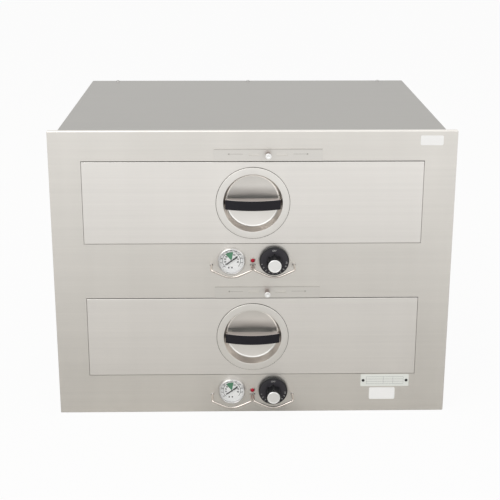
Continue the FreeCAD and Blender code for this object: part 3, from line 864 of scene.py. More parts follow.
def combine(
    piece: Piece, tools: list[Piece], operation: str = "DIFFERENCE"
) -> Piece:
    """Cuts an object with others, or unites or crosses it with them, and removes them.

    Args:
        piece: the object that is changed.
        tools: the others.
        operation: DIFFERENCE, UNION or INTERSECT.

    Returns:
        The changed object.
    """
    for tool in tools:
        modifier = piece.modifiers.new("combine", "BOOLEAN")
        modifier.operation = operation
        modifier.solver = "EXACT"
        modifier.object = tool
        apply_modifiers(piece)
        bpy.data.objects.remove(tool)
    return piece


def join(pieces: list[Piece]) -> Piece:
    """Makes one object from several, each of which keeps its own shells.

    Args:
        pieces: the objects.

    Returns:
        The first of them, which holds all.
    """
    activate(pieces[0])
    for piece in pieces[1:]:
        piece.select_set(True)
    bpy.ops.object.join()
    return pieces[0]


def clean(piece: Piece) -> Piece:
    """Merges doubled points and turns all faces outwards.

    Args:
        piece: the object.

    Returns:
        The object.
    """
    with editing(piece, "VERT"):
        bpy.ops.mesh.select_all(action="SELECT")
        bpy.ops.mesh.remove_doubles(threshold=MERGE)
        bpy.ops.mesh.normals_make_consistent(inside=False)
    return piece


def duplicate(piece: Piece, move: Matrix) -> Piece:
    """A copy with its own mesh.

    Args:
        piece: the object.
        move: how the copy's mesh is moved.

    Returns:
        The copy.
    """
    twin = piece.copy()
    twin.data = piece.data.copy()
    twin.data.transform(move)
    bpy.context.scene.collection.objects.link(twin)
    return twin


def outward(angle: float) -> Vector:
    """The direction at an angle from +X towards +Z, in radians."""
    return Vector((math.cos(angle), 0, math.sin(angle)))


def flat_ring(inner: float, outer: float, low: float, high: float) -> Profile:
    """The closed profile between two radii and two heights."""
    return [(inner, low), (outer, low), (outer, high), (inner, high), (inner, low)]


def traced(points: list[Vector]) -> Piece:
    """A new line of edges, extruded from a single point.

    Args:
        points: its points in order.

    Returns:
        The new object.
    """
    bpy.ops.object.select_all(action="DESELECT")
    bpy.ops.mesh.primitive_plane_add(size=SEED, location=points[0])
    piece = bpy.context.active_object
    settle(piece)
    with editing(piece, "VERT"):
        bpy.ops.mesh.select_all(action="SELECT")
        bpy.ops.mesh.merge(type="CENTER")
        for before, after in zip(points, points[1:]):
            move = {"value": after - before}
            bpy.ops.mesh.extrude_vertices_move(TRANSFORM_OT_translate=move)
    return piece


def turned(
    profile: Profile,
    centre: Vector,
    steps: int = 72,
    start: float = 0.0,
    sweep: float = math.tau,
) -> Piece:
    """A body spun about a Y axis.

    Args:
        profile: radius and height in front of the centre, point by point.
        centre: the point on the axis that heights are measured from.
        steps: how many steps the spin has.
        start: the angle from +X towards +Z at which it starts.
        sweep: the angle that it turns through, towards +Z.

    Returns:
        The new object.
    """
    across = outward(start)
    points = [centre + across * radius - Axis.Y.value * height for radius, height in profile]
    piece = traced(points)
    with editing(piece, "VERT"):
        bpy.ops.mesh.select_all(action="SELECT")
        bpy.ops.mesh.spin(steps=steps, angle=sweep, center=centre, axis=(0, 1, 0))
        bpy.ops.mesh.select_all(action="SELECT")
        bpy.ops.mesh.remove_doubles(threshold=MERGE)
        if sweep < math.tau:
            bpy.ops.mesh.fill_holes(sides=0)
        bpy.ops.mesh.select_all(action="SELECT")
        bpy.ops.mesh.normals_make_consistent(inside=False)
    return piece


def folded_sheet(
    low: Vector,
    high: Vector,
    opened: Callable[[Vector], bool],
    thickness: float,
    bend: float,
    segments: int = 4,
) -> Piece:
    """A new box folded from one sheet, with some of its sides left open.

    Args:
        low: its lowest corner.
        high: its highest corner.
        opened: tells from a side's normal whether it is left open.
        thickness: the sheet's thickness, which lies inwards.
        bend: how far the round of each fold reaches.
        segments: faces across each fold.

    Returns:
        The new object.
    """
    sheet = block(low, high)
    with editing(sheet) as mesh:
        pick(mesh, mesh.faces, lambda face: opened(face.normal))
        bpy.ops.mesh.delete(type="FACE")
    with editing(sheet, "EDGE") as mesh:
        pick(mesh, mesh.edges, lambda edge: not edge.is_boundary)
        bpy.ops.mesh.bevel(offset=bend, segments=segments, affect="EDGES")
    wall = sheet.modifiers.new("wall", "SOLIDIFY")
    wall.thickness = thickness
    wall.offset = -1.0
    apply_modifiers(sheet)
    return sheet


def slot_cutter(
    centre: Vector, half_length: float, half_height: float, half_depth: float, sides: int
) -> Piece:
    """A cutter for a level hole with round ends.

    Args:
        centre: its middle.
        half_length: half its length, over its round ends.
        half_height: half its height.
        half_depth: how far it reaches before and behind its middle.
        sides: faces round the full circle of an end.

    Returns:
        The new object.
    """
    through = Axis.Y.value * half_depth
    reach = Axis.X.value * (half_length - half_height)
    rise = Axis.Z.value * half_height
    bar = block(centre - reach - rise - through, centre + reach + rise + through)
    middles = (centre - reach, centre + reach)
    ends = [cylinder(half_height, middle + through, middle - through, sides) for middle in middles]
    return combine(bar, ends, "UNION")


def bent_rod(radius: float, corners: list[Vector], bends: list[float]) -> Piece:
    """A round rod along straight runs that arcs join.

    Args:
        radius: the rod's radius.
        corners: its ends and the corners between them.
        bends: the radius of the arc at each corner.

    Returns:
        The new object, a mesh.
    """
    knots = [(corners[0], None, (corners[1] - corners[0]) / 3)]
    for before, corner, after, bend in zip(corners, corners[1:], corners[2:], bends):
        into = (corner - before).normalized()
        out = (after - corner).normalized()
        turn = into.angle(out)
        reach = bend * math.tan(turn / 2)
        handle = bend * 4 / 3 * math.tan(turn / 4)
        knots.append((corner - into * reach, into, into * handle))
        knots.append((corner + out * reach, out, out * handle))
    knots.append((corners[-1], None, (corners[-1] - corners[-2]) / 3))
    bpy.ops.object.select_all(action="DESELECT")
    bpy.ops.curve.primitive_bezier_curve_add(location=(0, 0, 0))
    piece = bpy.context.active_object
    spline = piece.data.splines[0]
    spline.bezier_points.add(len(knots) - len(spline.bezier_points))
    for index, (point, (place, _, handle)) in enumerate(zip(spline.bezier_points, knots)):
        before = knots[max(index - 1, 0)][0]
        after = knots[min(index + 1, len(knots) - 1)][0]
        starts_arc = index % 2 == 1
        point.handle_left_type = point.handle_right_type = "FREE"
        point.co = place
        point.handle_left = place - ((place - before) / 3 if starts_arc else handle)
        point.handle_right = place + (handle if starts_arc else (after - place) / 3)
    piece.data.resolution_u = 10
    piece.data.bevel_depth = radius
    piece.data.bevel_resolution = 6
    piece.data.use_fill_caps = True
    activate(piece)
    bpy.ops.object.convert(target="MESH")
    piece = bpy.context.active_object
    settle(piece)
    return shade(clean(piece), 50.0)


def lettering(
    words: str, size: float, place: Vector, turn: float = 0.0, weight: float = 0.0
) -> Piece:
    """Plain characters that face the front.

    Args:
        words: the characters.
        size: their height in metres.
        place: the middle of the words.
        turn: how far they lean clockwise, in radians.
        weight: how much their strokes are thickened, as a share of their height.

    Returns:
        The new object, a mesh.
    """
    bpy.ops.object.select_all(action="DESELECT")
    bpy.ops.object.text_add(location=place, rotation=(math.pi / 2, turn, 0))
    piece = bpy.context.active_object
    piece.data.body = words
    piece.data.size = size * CAPITAL
    piece.data.align_x = "CENTER"
    piece.data.align_y = "CENTER"
    piece.data.offset = size * weight
    piece.data.extrude = INK
    piece.data.resolution_u = 3
    bpy.ops.object.convert(target="MESH")
    piece = bpy.context.active_object
    settle(piece)
    return clean(piece)


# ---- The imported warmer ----


@dataclass
class Warmer:
    """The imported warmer, which new pieces are fitted to."""

    nodes: dict[str, Piece]
    front_y: float = field(init=False)
    rise: float = field(init=False)

    def __post_init__(self) -> None:
        """Reads the front plane and the step from the lower level to the upper."""
        self.front_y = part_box("front_frame")[0].y
        self.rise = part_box("upper_drawer_face")[0].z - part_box("lower_drawer_face")[0].z

    def centre(self, node: str) -> Vector:
        """The middle of a node, moved to the front plane."""
        low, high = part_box(node)
        return Vector(((low.x + high.x) / 2, self.front_y, (low.z + high.z) / 2))

    def fit(
        self,
        piece: Piece,
        name: str,
        finish: Material,
        slot: str,
        body: str = "cabinet",
        replaces: tuple[str, ...] = (),
    ) -> Piece:
        """Names a finished mesh, paints it and fastens it to a body.

        Args:
            piece: the mesh object.
            name: its new name.
            finish: its material.
            slot: the record's material slot; not used.
            body: the body that it rides on.
            replaces: the nodes that it stands for.

        Returns:
            The object.
        """
        piece.name = name
        piece.data.name = name
        piece.data.materials.clear()
        piece.data.materials.append(finish)
        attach(piece, body)
        if replaces:
            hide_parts(*replaces)
        LOG.info("%s rides on %s", name, body)
        return piece

    def fit_levels(
        self,
        piece: Piece,
        name: str,
        finish: Material | dict[str, Material],
        slot: str,
        body: str = "",
        replaces: tuple[str, ...] = (),
    ) -> None:
        """Fits a lower piece and its copy on the upper level.

        Args:
            piece: the lower level's mesh object.
            name: its name without the level.
            finish: one material, or one for each level.
            slot: the record's material slot.
            body: the body without its level, or nothing for the cabinet.
            replaces: the nodes that it stands for, without their level.
        """
        upper = duplicate(piece, Matrix.Translation((0, 0, self.rise)))
        for level, made in zip(LEVELS, (piece, upper)):
            self.fit(
                made,
                f"{level}_{name}",
                finish[level] if isinstance(finish, dict) else finish,
                slot,
                f"{level}_{body}" if body else "cabinet",
                tuple(f"{level}_{node}" for node in replaces),
            )

    def worked_copy(
        self, node: str, width: float = 0.0004, degrees: float = 40.0
    ) -> Piece:
        """A node's shape as a clean mesh with its sharp edges eased.

        Args:
            node: the CAD node.
            width: how far each edge is eased.
            degrees: the least angle of an edge that is eased or shaded sharp.

        Returns:
            The new object.
        """
        source = self.nodes[node]
        piece = duplicate(source, Matrix.Identity(4))
        piece.parent = None
        piece.hide_viewport = piece.hide_render = False
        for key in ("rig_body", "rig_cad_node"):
            del piece[key]
        with editing(piece):
            bpy.ops.mesh.select_all(action="SELECT")
            bpy.ops.mesh.remove_doubles(threshold=MERGE)
            bpy.ops.mesh.customdata_custom_splitnormals_clear()
            bpy.ops.mesh.dissolve_limited(angle_limit=math.radians(FLAT))
        if width:
            round_edges(piece, width, degrees=degrees)
        return shade(piece, degrees)


# ---- Sub-assemblies ----


@dataclass
class Assembly:
    """What every sub-assembly is built from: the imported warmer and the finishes."""

    warmer: Warmer
    palette: Palette


@dataclass
class FrontSheet(Assembly):
    """The front sheet: a shallow tray with a window for each drawer."""

    thickness: float = 0.0015
    edge_round: float = 0.0016
    window_gap: float = 0.0004
    window_top_gap: float = 0.0016
    window_round: float = 0.0004
    vent_travel: float = 0.012
    slot_offset: float = 0.0255
    slot_sides: int = 24
    port_shift: float = 0.016
    port_half_length: float = 0.005
    port_half_height: float = 0.00325
    screw_half_height: float = 0.0027
    barrel_hole: float = 0.0218
    spindle_hole: float = 0.005
    lamp_hole: float = 0.0041

    def cutters(self) -> list[Piece]:
        """Makes cutters for the lower level's window, controls and vent.

        Returns:
            The cutters.
        """
        depth = self.thickness * 2
        through = Axis.Y.value * depth
        low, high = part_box("lower_drawer_face")
        low -= Vector((self.window_gap, 0, self.window_gap))
        high += Vector((self.window_gap, 0, self.window_top_gap))
        low.y = self.warmer.front_y - depth
        high.y = self.warmer.front_y + depth
        tools = [block(low, high)]
        for node, radius in (
            ("lower_thermometer_lens", self.barrel_hole),
            ("lower_knob_cap", self.spindle_hole),
            ("lower_pilot_lamp", self.lamp_hole),
        ):
            middle = self.warmer.centre(node)
            tools.append(cylinder(radius, middle + through, middle - through))
        half_travel = self.vent_travel / 2
        vent = self.warmer.centre("lower_vent_knob")
        for shift, half_length, half_height in (
            (self.port_shift - self.slot_offset, self.port_half_length, self.port_half_height),
            (self.port_shift + self.slot_offset, self.port_half_length, self.port_half_height),
            (half_travel, half_travel + self.screw_half_height, self.screw_half_height),
        ):
            middle = vent + Axis.X.value * shift
            tools.append(slot_cutter(middle, half_length, half_height, depth, self.slot_sides))
        return tools

    def build(self) -> None:
        """Folds the tray, opens its windows and eases their edges."""
        low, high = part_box("front_frame")
        tray = folded_sheet(low, high, lambda way: way.y > FACING, self.thickness, self.edge_round)
        upward = Matrix.Translation((0, 0, self.warmer.rise))
        for tool in self.cutters():
            combine(tray, [duplicate(tool, upward), tool])
        round_edges(tray, self.window_round, degrees=SQUARE)
        self.warmer.fit(
            shade(tray), "front_sheet", self.palette.front, "front_steel", replaces=("front_frame",)
        )


@dataclass
class Casing(Assembly):
    """The casing behind the front sheet, with its screws and supply entry."""

    sheet: float = 0.0012
    fold_round: float = 0.0022
    fixing_radius: float = 0.00275
    fixing_setback: float = 0.030
    fixing_heights: tuple[float, float] = (0.120, 0.440)
    fixing_sides: int = 32
    hole_round: float = 0.0003
    screw_shank: float = 0.002
    screw_head: float = 0.004
    screw_rise: float = 0.0024
    screw_length: float = 0.008
    screw_point: float = 0.001
    screw_edge: float = 0.0075
    screw_inset: float = 0.060
    recess_reach: float = 0.5
    recess_breadth: float = 0.12
    recess_top: float = 1.2
    recess_floor: float = 0.35
    first_turn: float = 0.4
    turn_step: float = 1.1
    cover_screw_inset: float = 0.004
    gland_flange: float = 0.013
    gland_flange_thickness: float = 0.003
    gland_dome: float = 0.0105
    gland_dome_length: float = 0.013
    gland_bore: float = 0.005
    gland_lip: float = 0.001
    gland_sleeve: float = 0.008
    gland_sleeve_length: float = 0.010
    gland_ease: float = 0.0006
    flutes: int = 12
    flute_radius: float = 0.0013

    def build(self) -> None:
        """Makes the casing and dresses the nodes that close it."""
        self.build_wrap()
        self.build_screws()
        self.build_gland()
        for node in ("base_panel", "rear_panel", "junction_box", "junction_box_cover"):
            piece = self.warmer.worked_copy(node)
            name = f"{node}_sheet"
            self.warmer.fit(piece, name, self.palette.casing, "casing_steel", replaces=(node,))

    def build_wrap(self) -> None:
        """Folds the top and two sides from one sheet, and bores the fixing holes."""
        low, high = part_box("casing_wrap")
        wrap = folded_sheet(
            low,
            high,
            lambda way: abs(way.y) > FACING or way.z < -FACING,
            self.sheet,
            self.fold_round,
            segments=5,
        )
        across = Axis.X.value * (high.x + self.sheet)
        holes = []
        for height in self.fixing_heights:
            at = Vector((0, self.warmer.front_y + self.fixing_setback, height))
            holes.append(cylinder(self.fixing_radius, at - across, at + across, self.fixing_sides))
        combine(wrap, holes)
        round_edges(wrap, self.hole_round, degrees=SQUARE)
        finish = self.palette.casing
        self.warmer.fit(
            shade(wrap), "casing_sheet", finish, "casing_steel", replaces=("casing_wrap",)
        )

    def screw(self) -> Piece:
        """Turns a pan-head screw that points along +Y, and cuts a cross recess in its head.

        Returns:
            The screw.
        """
        head, rise, shank = self.screw_head, self.screw_rise, self.screw_shank
        profile = [
            (0, rise),
            (head * 0.55, rise * 0.95),
            (head * 0.85, rise * 0.72),
            (head, rise * 0.35),
            (head, 0),
            (shank, 0),
            (shank, -self.screw_length + self.screw_point),
            (shank * 0.4, -self.screw_length),
            (0, -self.screw_length),
        ]
        piece = turned(profile, Vector((0, 0, 0)), steps=28)
        reach, breadth = head * self.recess_reach, head * self.recess_breadth
        deep = Axis.Y.value * rise
        arms = [
            block(-half - deep * self.recess_top, half - deep * self.recess_floor)
            for half in (Vector((reach, 0, breadth)), Vector((breadth, 0, reach)))
        ]
        return shade(combine(piece, arms), 40.0)

    def build_screws(self) -> None:
        """Sets screws round the rear panel and in the junction box's cover."""
        pattern = self.screw()
        wrap_low, wrap_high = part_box("casing_wrap")
        cover_low, cover_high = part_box("junction_box_cover")
        y = wrap_high.y - self.screw_edge
        places: list[tuple[Vector, Vector]] = []
        for z in (self.screw_inset, wrap_high.z / 2, wrap_high.z - self.screw_inset):
            places.append((Vector((wrap_high.x, y, z)), -Axis.X.value))
            places.append((Vector((wrap_low.x, y, z)), Axis.X.value))
        for x in (wrap_low.x + self.screw_inset, 0, wrap_high.x - self.screw_inset):
            places.append((Vector((x, y, wrap_high.z)), -Axis.Z.value))
        inset = self.cover_screw_inset
        for x in (cover_low.x + inset, cover_high.x - inset):
            for z in (cover_low.z + inset, cover_high.z - inset):
                places.append((Vector((x, cover_high.y, z)), -Axis.Y.value))
        screws = []
        for index, (place, way) in enumerate(places):
            turn = Matrix.Rotation(self.first_turn + self.turn_step * index, 4, "Y")
            face = Axis.Y.value.rotation_difference(way).to_matrix().to_4x4()
            screws.append(duplicate(pattern, Matrix.Translation(place) @ face @ turn))
        bpy.data.objects.remove(pattern)
        finish = self.palette.screw
        self.warmer.fit(
            join(screws), "panel_screws", finish, "screw_steel", replaces=("casing_screws",)
        )

    def build_gland(self) -> None:
        """Turns the gland and cuts flutes round its nut."""
        low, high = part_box("cord_gland")
        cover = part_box("junction_box_cover")[1].y
        centre = Vector(((low.x + high.x) / 2, cover, (low.z + high.z) / 2))
        seat = self.gland_flange_thickness
        end = seat + self.gland_dome_length
        profile = [
            (self.gland_bore, self.gland_sleeve_length),
            (self.gland_sleeve, self.gland_sleeve_length),
            (self.gland_sleeve, 0),
            (self.gland_flange, 0),
            (self.gland_flange, -seat * 0.8),
            (self.gland_flange - self.gland_ease, -seat),
            (self.gland_dome, -seat),
            (self.gland_dome, -end * 0.72),
            (self.gland_dome * 0.86, -end * 0.93),
            (self.gland_bore + self.gland_lip, -end),
            (self.gland_bore, -end + self.gland_ease),
            (self.gland_bore, self.gland_sleeve_length),
        ]
        gland = turned(profile, centre, steps=60)
        length = Axis.Y.value * self.gland_dome_length
        grooves = []
        for index in range(self.flutes):
            out = outward(math.tau * index / self.flutes) * (self.gland_dome + self.gland_ease)
            start = centre + out + Axis.Y.value * (seat + self.gland_lip)
            grooves.append(cylinder(self.flute_radius, start, start + length, 12))
        combine(gland, grooves)
        finish = self.palette.gland
        self.warmer.fit(
            shade(gland), "supply_gland", finish, "black_plastic", replaces=("cord_gland",)
        )


@dataclass
class Labels(Assembly):
    """The bare rating plate with its rivets, and two bare labels."""

    plate_thickness: float = 0.0008
    plate_round: float = 0.0015
    plate_ease: float = 0.0002
    rivet_inset: float = 0.005
    rivet_head: float = 0.0029
    rivet_rise: float = 0.0010
    rivet_shank: float = 0.0016
    rivet_tail: float = 0.002
    rule_margin: float = 0.011
    rule_width: float = 0.0004
    rule_proud: float = 0.00004
    rule_depth: float = 0.0001
    rows: tuple[float, ...] = (0.2, 0.4, 0.6, 0.8)
    columns: tuple[float, ...] = (0.0, 0.46, 0.72, 1.0)
    label_thickness: float = 0.0002
    label_round: float = 0.0025
    upper_label: tuple[Point, Point] = ((0.306, 0, 0.536), (0.348, 0, 0.554))
    lower_label: tuple[Point, Point] = ((0.228, 0, 0.0253), (0.278, 0, 0.0503))

    def build(self) -> None:
        """Makes the plate, its ruled lines and rivets, and the labels."""
        self.build_plate()
        self.build_rules()
        self.build_rivets()
        front = self.warmer.front_y
        labels = {"upper_label": self.upper_label, "lower_label": self.lower_label}
        for name, (start, end) in labels.items():
            label_low = Vector((start[0], front - self.label_thickness, start[2]))
            label_high = Vector((end[0], front, end[2]))
            label = self.rounded_plate(label_low, label_high, self.label_round)
            self.warmer.fit(shade(label), name, self.palette.paper, "white_plastic")

    def rounded_plate(self, low: Vector, high: Vector, corner: float) -> Piece:
        """A thin plate with round corners.

        Args:
            low: its lowest corner.
            high: its highest corner.
            corner: the radius of its corners.

        Returns:
            The new object.
        """

        def runs_through(edge: bmesh.types.BMEdge) -> bool:
            """Tells whether an edge runs from the plate's back to its face."""
            way = (edge.verts[0].co - edge.verts[1].co).normalized()
            return abs(way.dot(Axis.Y.value)) > FACING

        plate = block(low, high)
        with editing(plate, "EDGE") as mesh:
            pick(mesh, mesh.edges, runs_through)
            bpy.ops.mesh.bevel(offset=corner, segments=6, affect="EDGES", clamp_overlap=False)
        return plate

    def build_plate(self) -> None:
        """Makes the bare plate."""
        low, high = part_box("rating_plate")
        low.y = self.warmer.front_y - self.plate_thickness
        high.y = self.warmer.front_y
        plate = self.rounded_plate(low, high, self.plate_round)
        round_edges(plate, self.plate_ease, degrees=SQUARE)
        finish = self.palette.plate
        self.warmer.fit(
            shade(plate), "data_plate", finish, "aluminium_plate", replaces=("rating_plate",)
        )

    def build_rules(self) -> None:
        """Prints the plate's rows and columns."""
        low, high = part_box("rating_plate")
        left, right = low.x + self.rule_margin, high.x - self.rule_margin
        rows = [low.z + (high.z - low.z) * share for share in self.rows]
        columns = [left + (right - left) * share for share in self.columns]
        rules = [self.rule(left, right, z, z + self.rule_width) for z in rows]
        rules += [self.rule(x, x + self.rule_width, rows[0], rows[-1]) for x in columns]
        self.warmer.fit(join(rules), "data_plate_rules", self.palette.grey_ink, "aluminium_plate")

    def rule(self, x0: float, x1: float, z0: float, z1: float) -> Piece:
        """One printed line on the plate.

        Args:
            x0: its left side.
            x1: its right side.
            z0: its lower side.
            z1: its upper side.

        Returns:
            The new object.
        """
        face = self.warmer.front_y - self.plate_thickness
        low = Vector((x0, face - self.rule_proud, z0))
        high = Vector((x1, face + self.rule_depth, z1))
        return block(low, high)

    def build_rivets(self) -> None:
        """Sets a rivet near each end of the plate."""
        low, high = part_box("rating_plate")
        head, rise, top = self.rivet_head, self.rivet_rise, self.plate_thickness
        profile = [
            (0, top + rise),
            (head * 0.6, top + rise * 0.85),
            (head, top + 0.0001),
            (head, top - 0.0001),
            (self.rivet_shank, top - 0.0001),
            (self.rivet_shank, -self.rivet_tail),
            (0, -self.rivet_tail),
        ]
        middle = Vector((low.x + self.rivet_inset, self.warmer.front_y, (low.z + high.z) / 2))
        left = turned(profile, middle, steps=32)
        across = Matrix.Translation((high.x - low.x - 2 * self.rivet_inset, 0, 0))
        rivets = shade(join([left, duplicate(left, across)]), 40.0)
        self.warmer.fit(
            rivets, "plate_rivets", self.palette.rivet, "screw_steel", replaces=("rating_plate",)
        )


@dataclass
class DrawerFront(Assembly):
    """A drawer's folded front sheet."""

    sheet: float = 0.0012
    edge_round: float = 0.0009
    cup_hole: float = 0.0565

    def build(self) -> None:
        """Folds the sheet and opens the hole for the handle's cup."""
        low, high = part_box("lower_drawer_face")
        tray = folded_sheet(low, high, lambda way: way.y > FACING, self.sheet, self.edge_round)
        middle = self.warmer.centre("lower_handle_cup")
        through = Axis.Y.value * self.sheet * 3
        combine(tray, [cylinder(self.cup_hole, middle + through, middle - through, 96)])
        finish = self.palette.drawer
        self.warmer.fit_levels(
            shade(tray), "drawer_sheet", finish, "front_steel", "drawer", ("drawer_face",)
        )


@dataclass
class Handle(Assembly):
    """The recessed handle: a pressed ring and cup, and a bowed grip across it."""

    ring: float = 0.069
    ring_rise: float = 0.0025
    mouth: float = 0.055
    floor: float = 0.0505
    fillet: float = 0.0030
    fillet_steps: int = 6
    dish: float = 0.003
    dish_shares: tuple[float, ...] = (0, 0.25, 0.5, 0.75, 0.9)
    depth: float = 0.019
    sheet: float = 0.0012
    shadow_ring_width: float = 0.0030
    shadow_ring_thickness: float = 0.0007
    grip_half_length: float = 0.0520
    grip_height: float = 0.0190
    grip_depth: float = 0.009
    grip_proud: float = 0.012
    grip_end_proud: float = 0.0015
    grip_round: float = 0.0014
    flange_back: float = 0.0055
    flange_thickness: float = 0.0012
    flange_inset: float = 0.0003
    flange_round: float = 0.0003
    flange_sides: int = 720
    leg_width: float = 0.009
    leg_height: float = 0.011
    leg_inset: float = 0.005
    leg_gap: float = 0.0005
    leg_round: float = 0.0012

    def build(self) -> None:
        """Makes the cup, a dark ring that paints the shadow line round its edge, its legs, and the
        black grip with its flange.
        """
        self.build_cup()
        self.build_shadow_ring()
        self.build_legs()
        self.build_grip()

    def cup_floor(self) -> Profile:
        """Lists the cup's dished floor and the fillet round it.

        Returns:
            The profile from the axis outwards.
        """
        depth, flat, dish = self.depth - self.dish, self.floor - self.fillet, self.dish
        profile = [(flat * share, -depth + dish * (share**2 - 1)) for share in self.dish_shares]
        for step in range(self.fillet_steps + 1):
            angle = math.pi / 2 * step / self.fillet_steps
            out, drop = self.fillet * math.sin(angle), self.fillet * math.cos(angle)
            profile.append((flat + out, -depth + self.fillet - drop))
        return profile

    def build_cup(self) -> None:
        """Spins the ring and its dished cup."""
        rise, depth, sheet = self.ring_rise, self.depth - self.dish, self.sheet
        profile = [
            *self.cup_floor(),
            (self.mouth - 0.0004, -0.0008),
            (self.mouth, rise - 0.0009),
            (self.mouth + 0.0003, rise - 0.0003),
            (self.mouth + 0.0010, rise),
            (self.ring - 0.0022, rise),
            (self.ring - 0.0011, rise - 0.0003),
            (self.ring - 0.0007, rise - 0.0010),
            (self.ring - 0.0007, 0.0003),
            (self.mouth + sheet, 0.0003),
            (self.mouth + sheet, -0.0022),
            (self.floor + sheet, -depth + self.fillet),
            (self.floor - self.fillet * 0.3, -depth - sheet),
            ((self.floor - self.fillet) * 0.7, -depth - sheet - self.dish * 0.7),
            (0, -depth - sheet - self.dish),
        ]
        centre = self.warmer.centre("lower_handle_cup")
        cup = turned(profile, centre, steps=120)
        finish = {
            level: SpunSteel(f"{level}_spun_steel", tuple(centre + Axis.Z.value * lift)).make()
            for level, lift in zip(LEVELS, (0, self.warmer.rise))
        }
        self.warmer.fit_levels(
            shade(cup, 40.0), "handle_ring", finish, "front_steel", "drawer", ("handle_cup",)
        )

    def build_shadow_ring(self) -> None:
        """Spins a dark ring that paints the shadow line round the ring's outer edge."""
        profile = flat_ring(self.ring - self.shadow_ring_width, self.ring, 0, self.shadow_ring_thickness)
        shadow_ring = shade(turned(profile, self.warmer.centre("lower_handle_cup"), steps=96))
        finish = self.palette.shadow_ring
        self.warmer.fit_levels(shadow_ring, "handle_gasket", finish, "black_plastic", "drawer")

    def build_legs(self) -> None:
        """Sets two legs for the grip on the cup's floor."""
        half = Vector((self.leg_width / 2, 0, self.leg_height / 2))
        z = self.warmer.centre("lower_handle_grip").z
        y = self.warmer.front_y
        legs = []
        for side in (-1, 1):
            x = side * (self.grip_half_length - self.leg_inset - self.leg_width / 2)
            front = Vector((x, y + self.leg_gap, z))
            back = Vector((x, y + self.depth - self.dish + self.sheet / 2, z))
            legs.append(round_edges(block(front - half, back + half), self.leg_round, 3))
        finish = self.palette.leg
        self.warmer.fit_levels(
            shade(join(legs)), "grip_legs", finish, "front_steel", "drawer", ("handle_cup",)
        )

    def build_grip(self) -> None:
        """Bends the black grip about a Z axis behind it."""
        middle = self.warmer.centre("lower_handle_grip")
        rise = self.grip_proud - self.grip_end_proud
        bow = (self.grip_half_length**2 + rise**2) / (2 * rise)
        axis = Vector((middle.x, self.warmer.front_y - self.grip_proud + bow, middle.z))
        half_angle = math.asin(self.grip_half_length / bow)
        half_height = Axis.Z.value * self.grip_height / 2
        self.build_flange(axis + half_height, bow - self.grip_round / 2)
        low = axis - Axis.Y.value * bow - half_height
        high = axis - Axis.Y.value * (bow - self.grip_depth) + half_height + Axis.X.value * SEED
        bar = block(low, high)
        with editing(bar) as mesh:
            pick(mesh, mesh.faces, lambda face: face.normal.x < FACING)
            bpy.ops.mesh.delete(type="FACE")
        with editing(bar, "VERT"):
            bpy.ops.mesh.select_all(action="SELECT")
            bpy.ops.transform.translate(value=(-SEED, 0, 0))
            bpy.ops.transform.rotate(value=half_angle, orient_axis="Z", center_override=axis)
            bpy.ops.mesh.spin(steps=28, angle=2 * half_angle, center=axis, axis=(0, 0, -1))
        round_edges(clean(bar), self.grip_round, 3, 40.0)
        finish = self.palette.grip
        self.warmer.fit_levels(
            shade(bar, 40.0), "grip_bar", finish, "black_plastic", "drawer", ("handle_grip",)
        )

    def build_flange(self, centre: Vector, bow: float) -> None:
        """Cuts the steel flange on the grip's top: a bowed front and a straight back.

        Args:
            centre: the middle of the bow, at the height of the grip's top.
            bow: the radius of the flange's front.
        """
        half = Axis.Z.value * self.flange_thickness / 2
        flange = cylinder(bow, centre - half, centre + half, self.flange_sides)
        reach = Axis.X.value * (self.grip_half_length - self.flange_inset)
        back = Vector((centre.x, self.warmer.front_y + self.flange_back, centre.z))
        front = Vector((centre.x, self.warmer.front_y - self.grip_proud * 2, centre.z))
        span = block(front - reach - 2 * half, back + reach + 2 * half)
        combine(flange, [span], "INTERSECT")
        round_edges(flange, self.flange_round, degrees=SQUARE)
        finish = self.palette.flange
        self.warmer.fit_levels(
            shade(flange), "grip_flange", finish, "front_steel", "drawer", ("handle_grip",)
        )


@dataclass(frozen=True)
class DialScale:
    """The numbers of one scale round a dial, each with its angle in degrees."""

    radius: float
    size: float
    weight: float
    numbers: tuple[tuple[str, float], ...]


